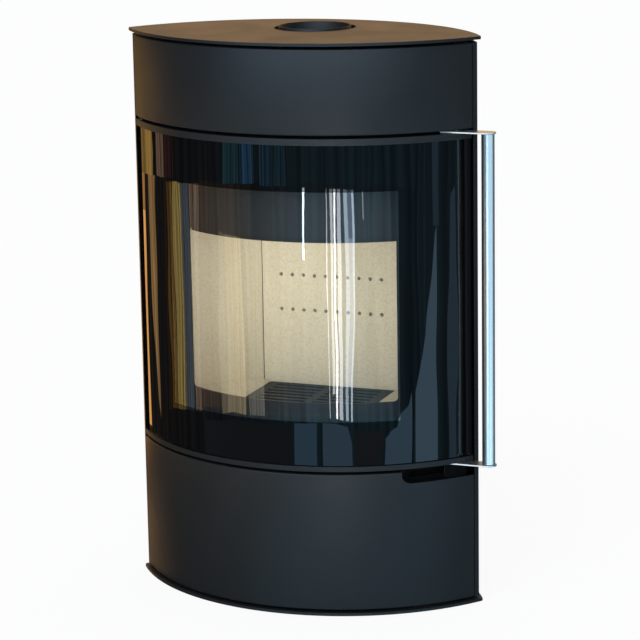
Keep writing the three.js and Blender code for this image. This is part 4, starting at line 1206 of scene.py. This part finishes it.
# Plain cards. The sky, back and floor panels show in the paint. The strips show as bright upright
# lines in the clear field. The panes show in the border below it and rise on the right.
for name, colour, strength, left, right, low, high in (
    ("sky_panel", "#9fc4e0", 2.3, -35, 50, 1120, 2250),
    ("back_panel_right", "#ffcf9a", 1.05, 140, 180, 1120, 2250),
    ("back_panel_left", "#ffcf9a", 1.05, -180, -135, 1120, 2250),
    ("cool_floor", "#9be0ff", 0.55, -28, 75, -900, -110),
    ("warm_floor_left", "#ffc98f", 0.58, -135, -103, -900, -110),
    ("strip_hair_left", "#e0f4ff", 9.0, 0.8, 1.8, 465, 640),
    ("strip_hair_middle", "#eef6ff", 3.0, 12.4, 12.9, 64, 640),
    ("strip_grey", "#e8eef2", 3.0, 14.5, 15.8, 130, 640),
    ("strip_white", "#ffffff", 6.5, 16.3, 17.4, 64, 640),
    ("strip_pale", "#dfe8f4", 3.3, 18.4, 20.8, 64, 640),
    ("strip_blue", "#d5ebff", 2.6, 22.7, 24.3, 64, 640),
    ("strip_fill", "#cfe4ff", 1.7, 24.3, 25.8, 150, 520),
    ("strip_fill_top", "#bfe0ff", 0.8, 24.3, 25.8, 520, 640),
    ("strip_blue_edge", "#d5ebff", 3.2, 25.8, 26.6, 64, 640),
    ("strip_hair_right", "#e6f2ff", 1.5, 31.6, 32.4, 570, 640),
    ("pane_dim", "#5a6066", 1.0, -62, -8.5, -100, 45),
    ("pane_left", "#9dd5ff", 1.15, -6.5, 6.2, -100, 50),
    ("pane_dark", "#6b7278", 0.9, 27, 40.5, -100, 44),
    ("pane_far_top", "#a2cdf0", 0.7, 69.3, 72.8, 560, 1100),
    ("pane_hairline", "#a2c4dd", 0.3, 84.2, 85.6, -100, 1100),
):
    card(name, colour, strength, [(left, low, high), (right, low, high)])

# Panes with a shaped top, given as (azimuth, height) along it.
for name, colour, strength, top in (
    ("pane_middle", "#a6d3f8", 1.25, ((7.7, 50), (23.6, 50), (26.0, 10))),
    (
        "pane_right",
        "#a9dbff",
        1.32,
        ((41.6, 20), (45, 40), (49.8, 56), (50.8, 82), (54.3, 112), (56.2, 150)),
    ),
    (
        "pane_far",
        "#afddff",
        1.65,
        ((58.4, 150), (61.2, 222), (65.3, 296), (67.5, 380), (69, 471), (70.2, 540), (71.2, 560)),
    ),
    ("pane_edge", "#a2cdf0", 0.85, ((77.5, 480), (79.0, 640), (81.5, 660))),
):
    card(name, colour, strength, [(azimuth, -100, high) for azimuth, high in top])

# Drapes. The coloured ones hang above and show in the border over the clear field. The warm ones on
# the left show where the glass turns away. The folds of each have a dark and a bright share.
DEEP, SOFT, FLAT = (0.35, 1.6), (0.6, 1.4), (0.7, 1.3)
for name, colour, strength, left, right, low, high, folds in (
    ("drape_teal", "#5a9aa8", 1.2, -47, -36, 649, 1100, DEEP),
    ("drape_navy", "#4577a0", 2.7, -34.5, -28, 648, 1100, DEEP),
    ("drape_steel", "#5b8fb5", 1.1, -25, -18.2, 645, 1100, DEEP),
    ("drape_slate", "#4c7c92", 1.3, -18, -9, 642, 1100, DEEP),
    ("drape_gold", "#e0b05c", 1.7, -112, -103.5, 655, 1100, DEEP),
    ("drape_brown", "#c39a58", 0.9, -127, -112, 655, 1100, DEEP),
    ("drape_rose", "#c79f80", 1.3, -100, -92, 655, 1100, DEEP),
    ("drape_wine", "#96605c", 0.6, -91, -83, 655, 1100, DEEP),
    ("gold_edge", "#ffb565", 2.3, -131, -115, 0, 560, FLAT),
    ("gold_edge_top", "#ffb565", 1.0, -131, -115, 560, 655, FLAT),
    ("brown_fold", "#a07a50", 0.45, -92, -90, 60, 655, DEEP),
    ("curtain_brown", "#b88b48", 1.0, -89, -83.5, 64, 645, DEEP),
    ("curtain_gold", "#e8c872", 0.92, -83.5, -77.5, 64, 645, DEEP),
    ("curtain_grey", "#757e89", 1.0, -77.5, -70, 64, 645, DEEP),
    ("curtain_rose", "#b1937a", 1.0, -69.5, -64, 64, 645, DEEP),
):
    card(name, colour, strength, [(left, low, high), (right, low, high)], folds)
slat_edge = [(-110, 560, 655), (-108, 300, 655), (-104.5, 80, 655), (-102.5, 30, 655)]
card("brown_slat", "#ffc881", 1.0, slat_edge, DEEP)

# Cream drapes that show over the left board of the lining, below the top of the window.
for name, colour, strength, left, high_left, right, high_right in (
    ("cream_wide", "#ffe8c0", 0.5, -51, 526, -46, 521),
    ("cream_bright", "#ffe8b8", 0.8, -46, 521, -35, 514),
    ("cream_narrow", "#f0ecdc", 0.5, -33, 512, -24, 508),
):
    card(name, colour, strength, [(left, 64, high_left), (right, 64, high_right)], SOFT)

camera_data = bpy.data.cameras.new("product camera")
camera_data.lens = 149.64
camera_data.sensor_width = 36
camera_data.clip_end = 200
camera = bpy.data.objects.new("product_camera", camera_data)
bpy.context.scene.collection.objects.link(camera)
yaw, pitch, roll = math.radians(20.918), math.radians(12.552), math.radians(-0.953)
level_ahead = Vector((-math.sin(yaw), math.cos(yaw), 0))
ahead = level_ahead * math.cos(pitch) + Vector((0, 0, -math.sin(pitch)))
level_right = Vector((math.cos(yaw), math.sin(yaw), 0))
level_up = level_right.cross(ahead)
right = math.cos(roll) * level_right + math.sin(roll) * level_up
up = math.cos(roll) * level_up - math.sin(roll) * level_right
turned = Matrix((right, up, -ahead)).transposed()
camera.matrix_world = Matrix.Translation((1.9175, -4.9346, 1.7396)) @ turned.to_4x4()
bpy.context.scene.camera = camera
bpy.context.scene.view_settings.view_transform = "Standard"

bpy.context.view_layer.update()
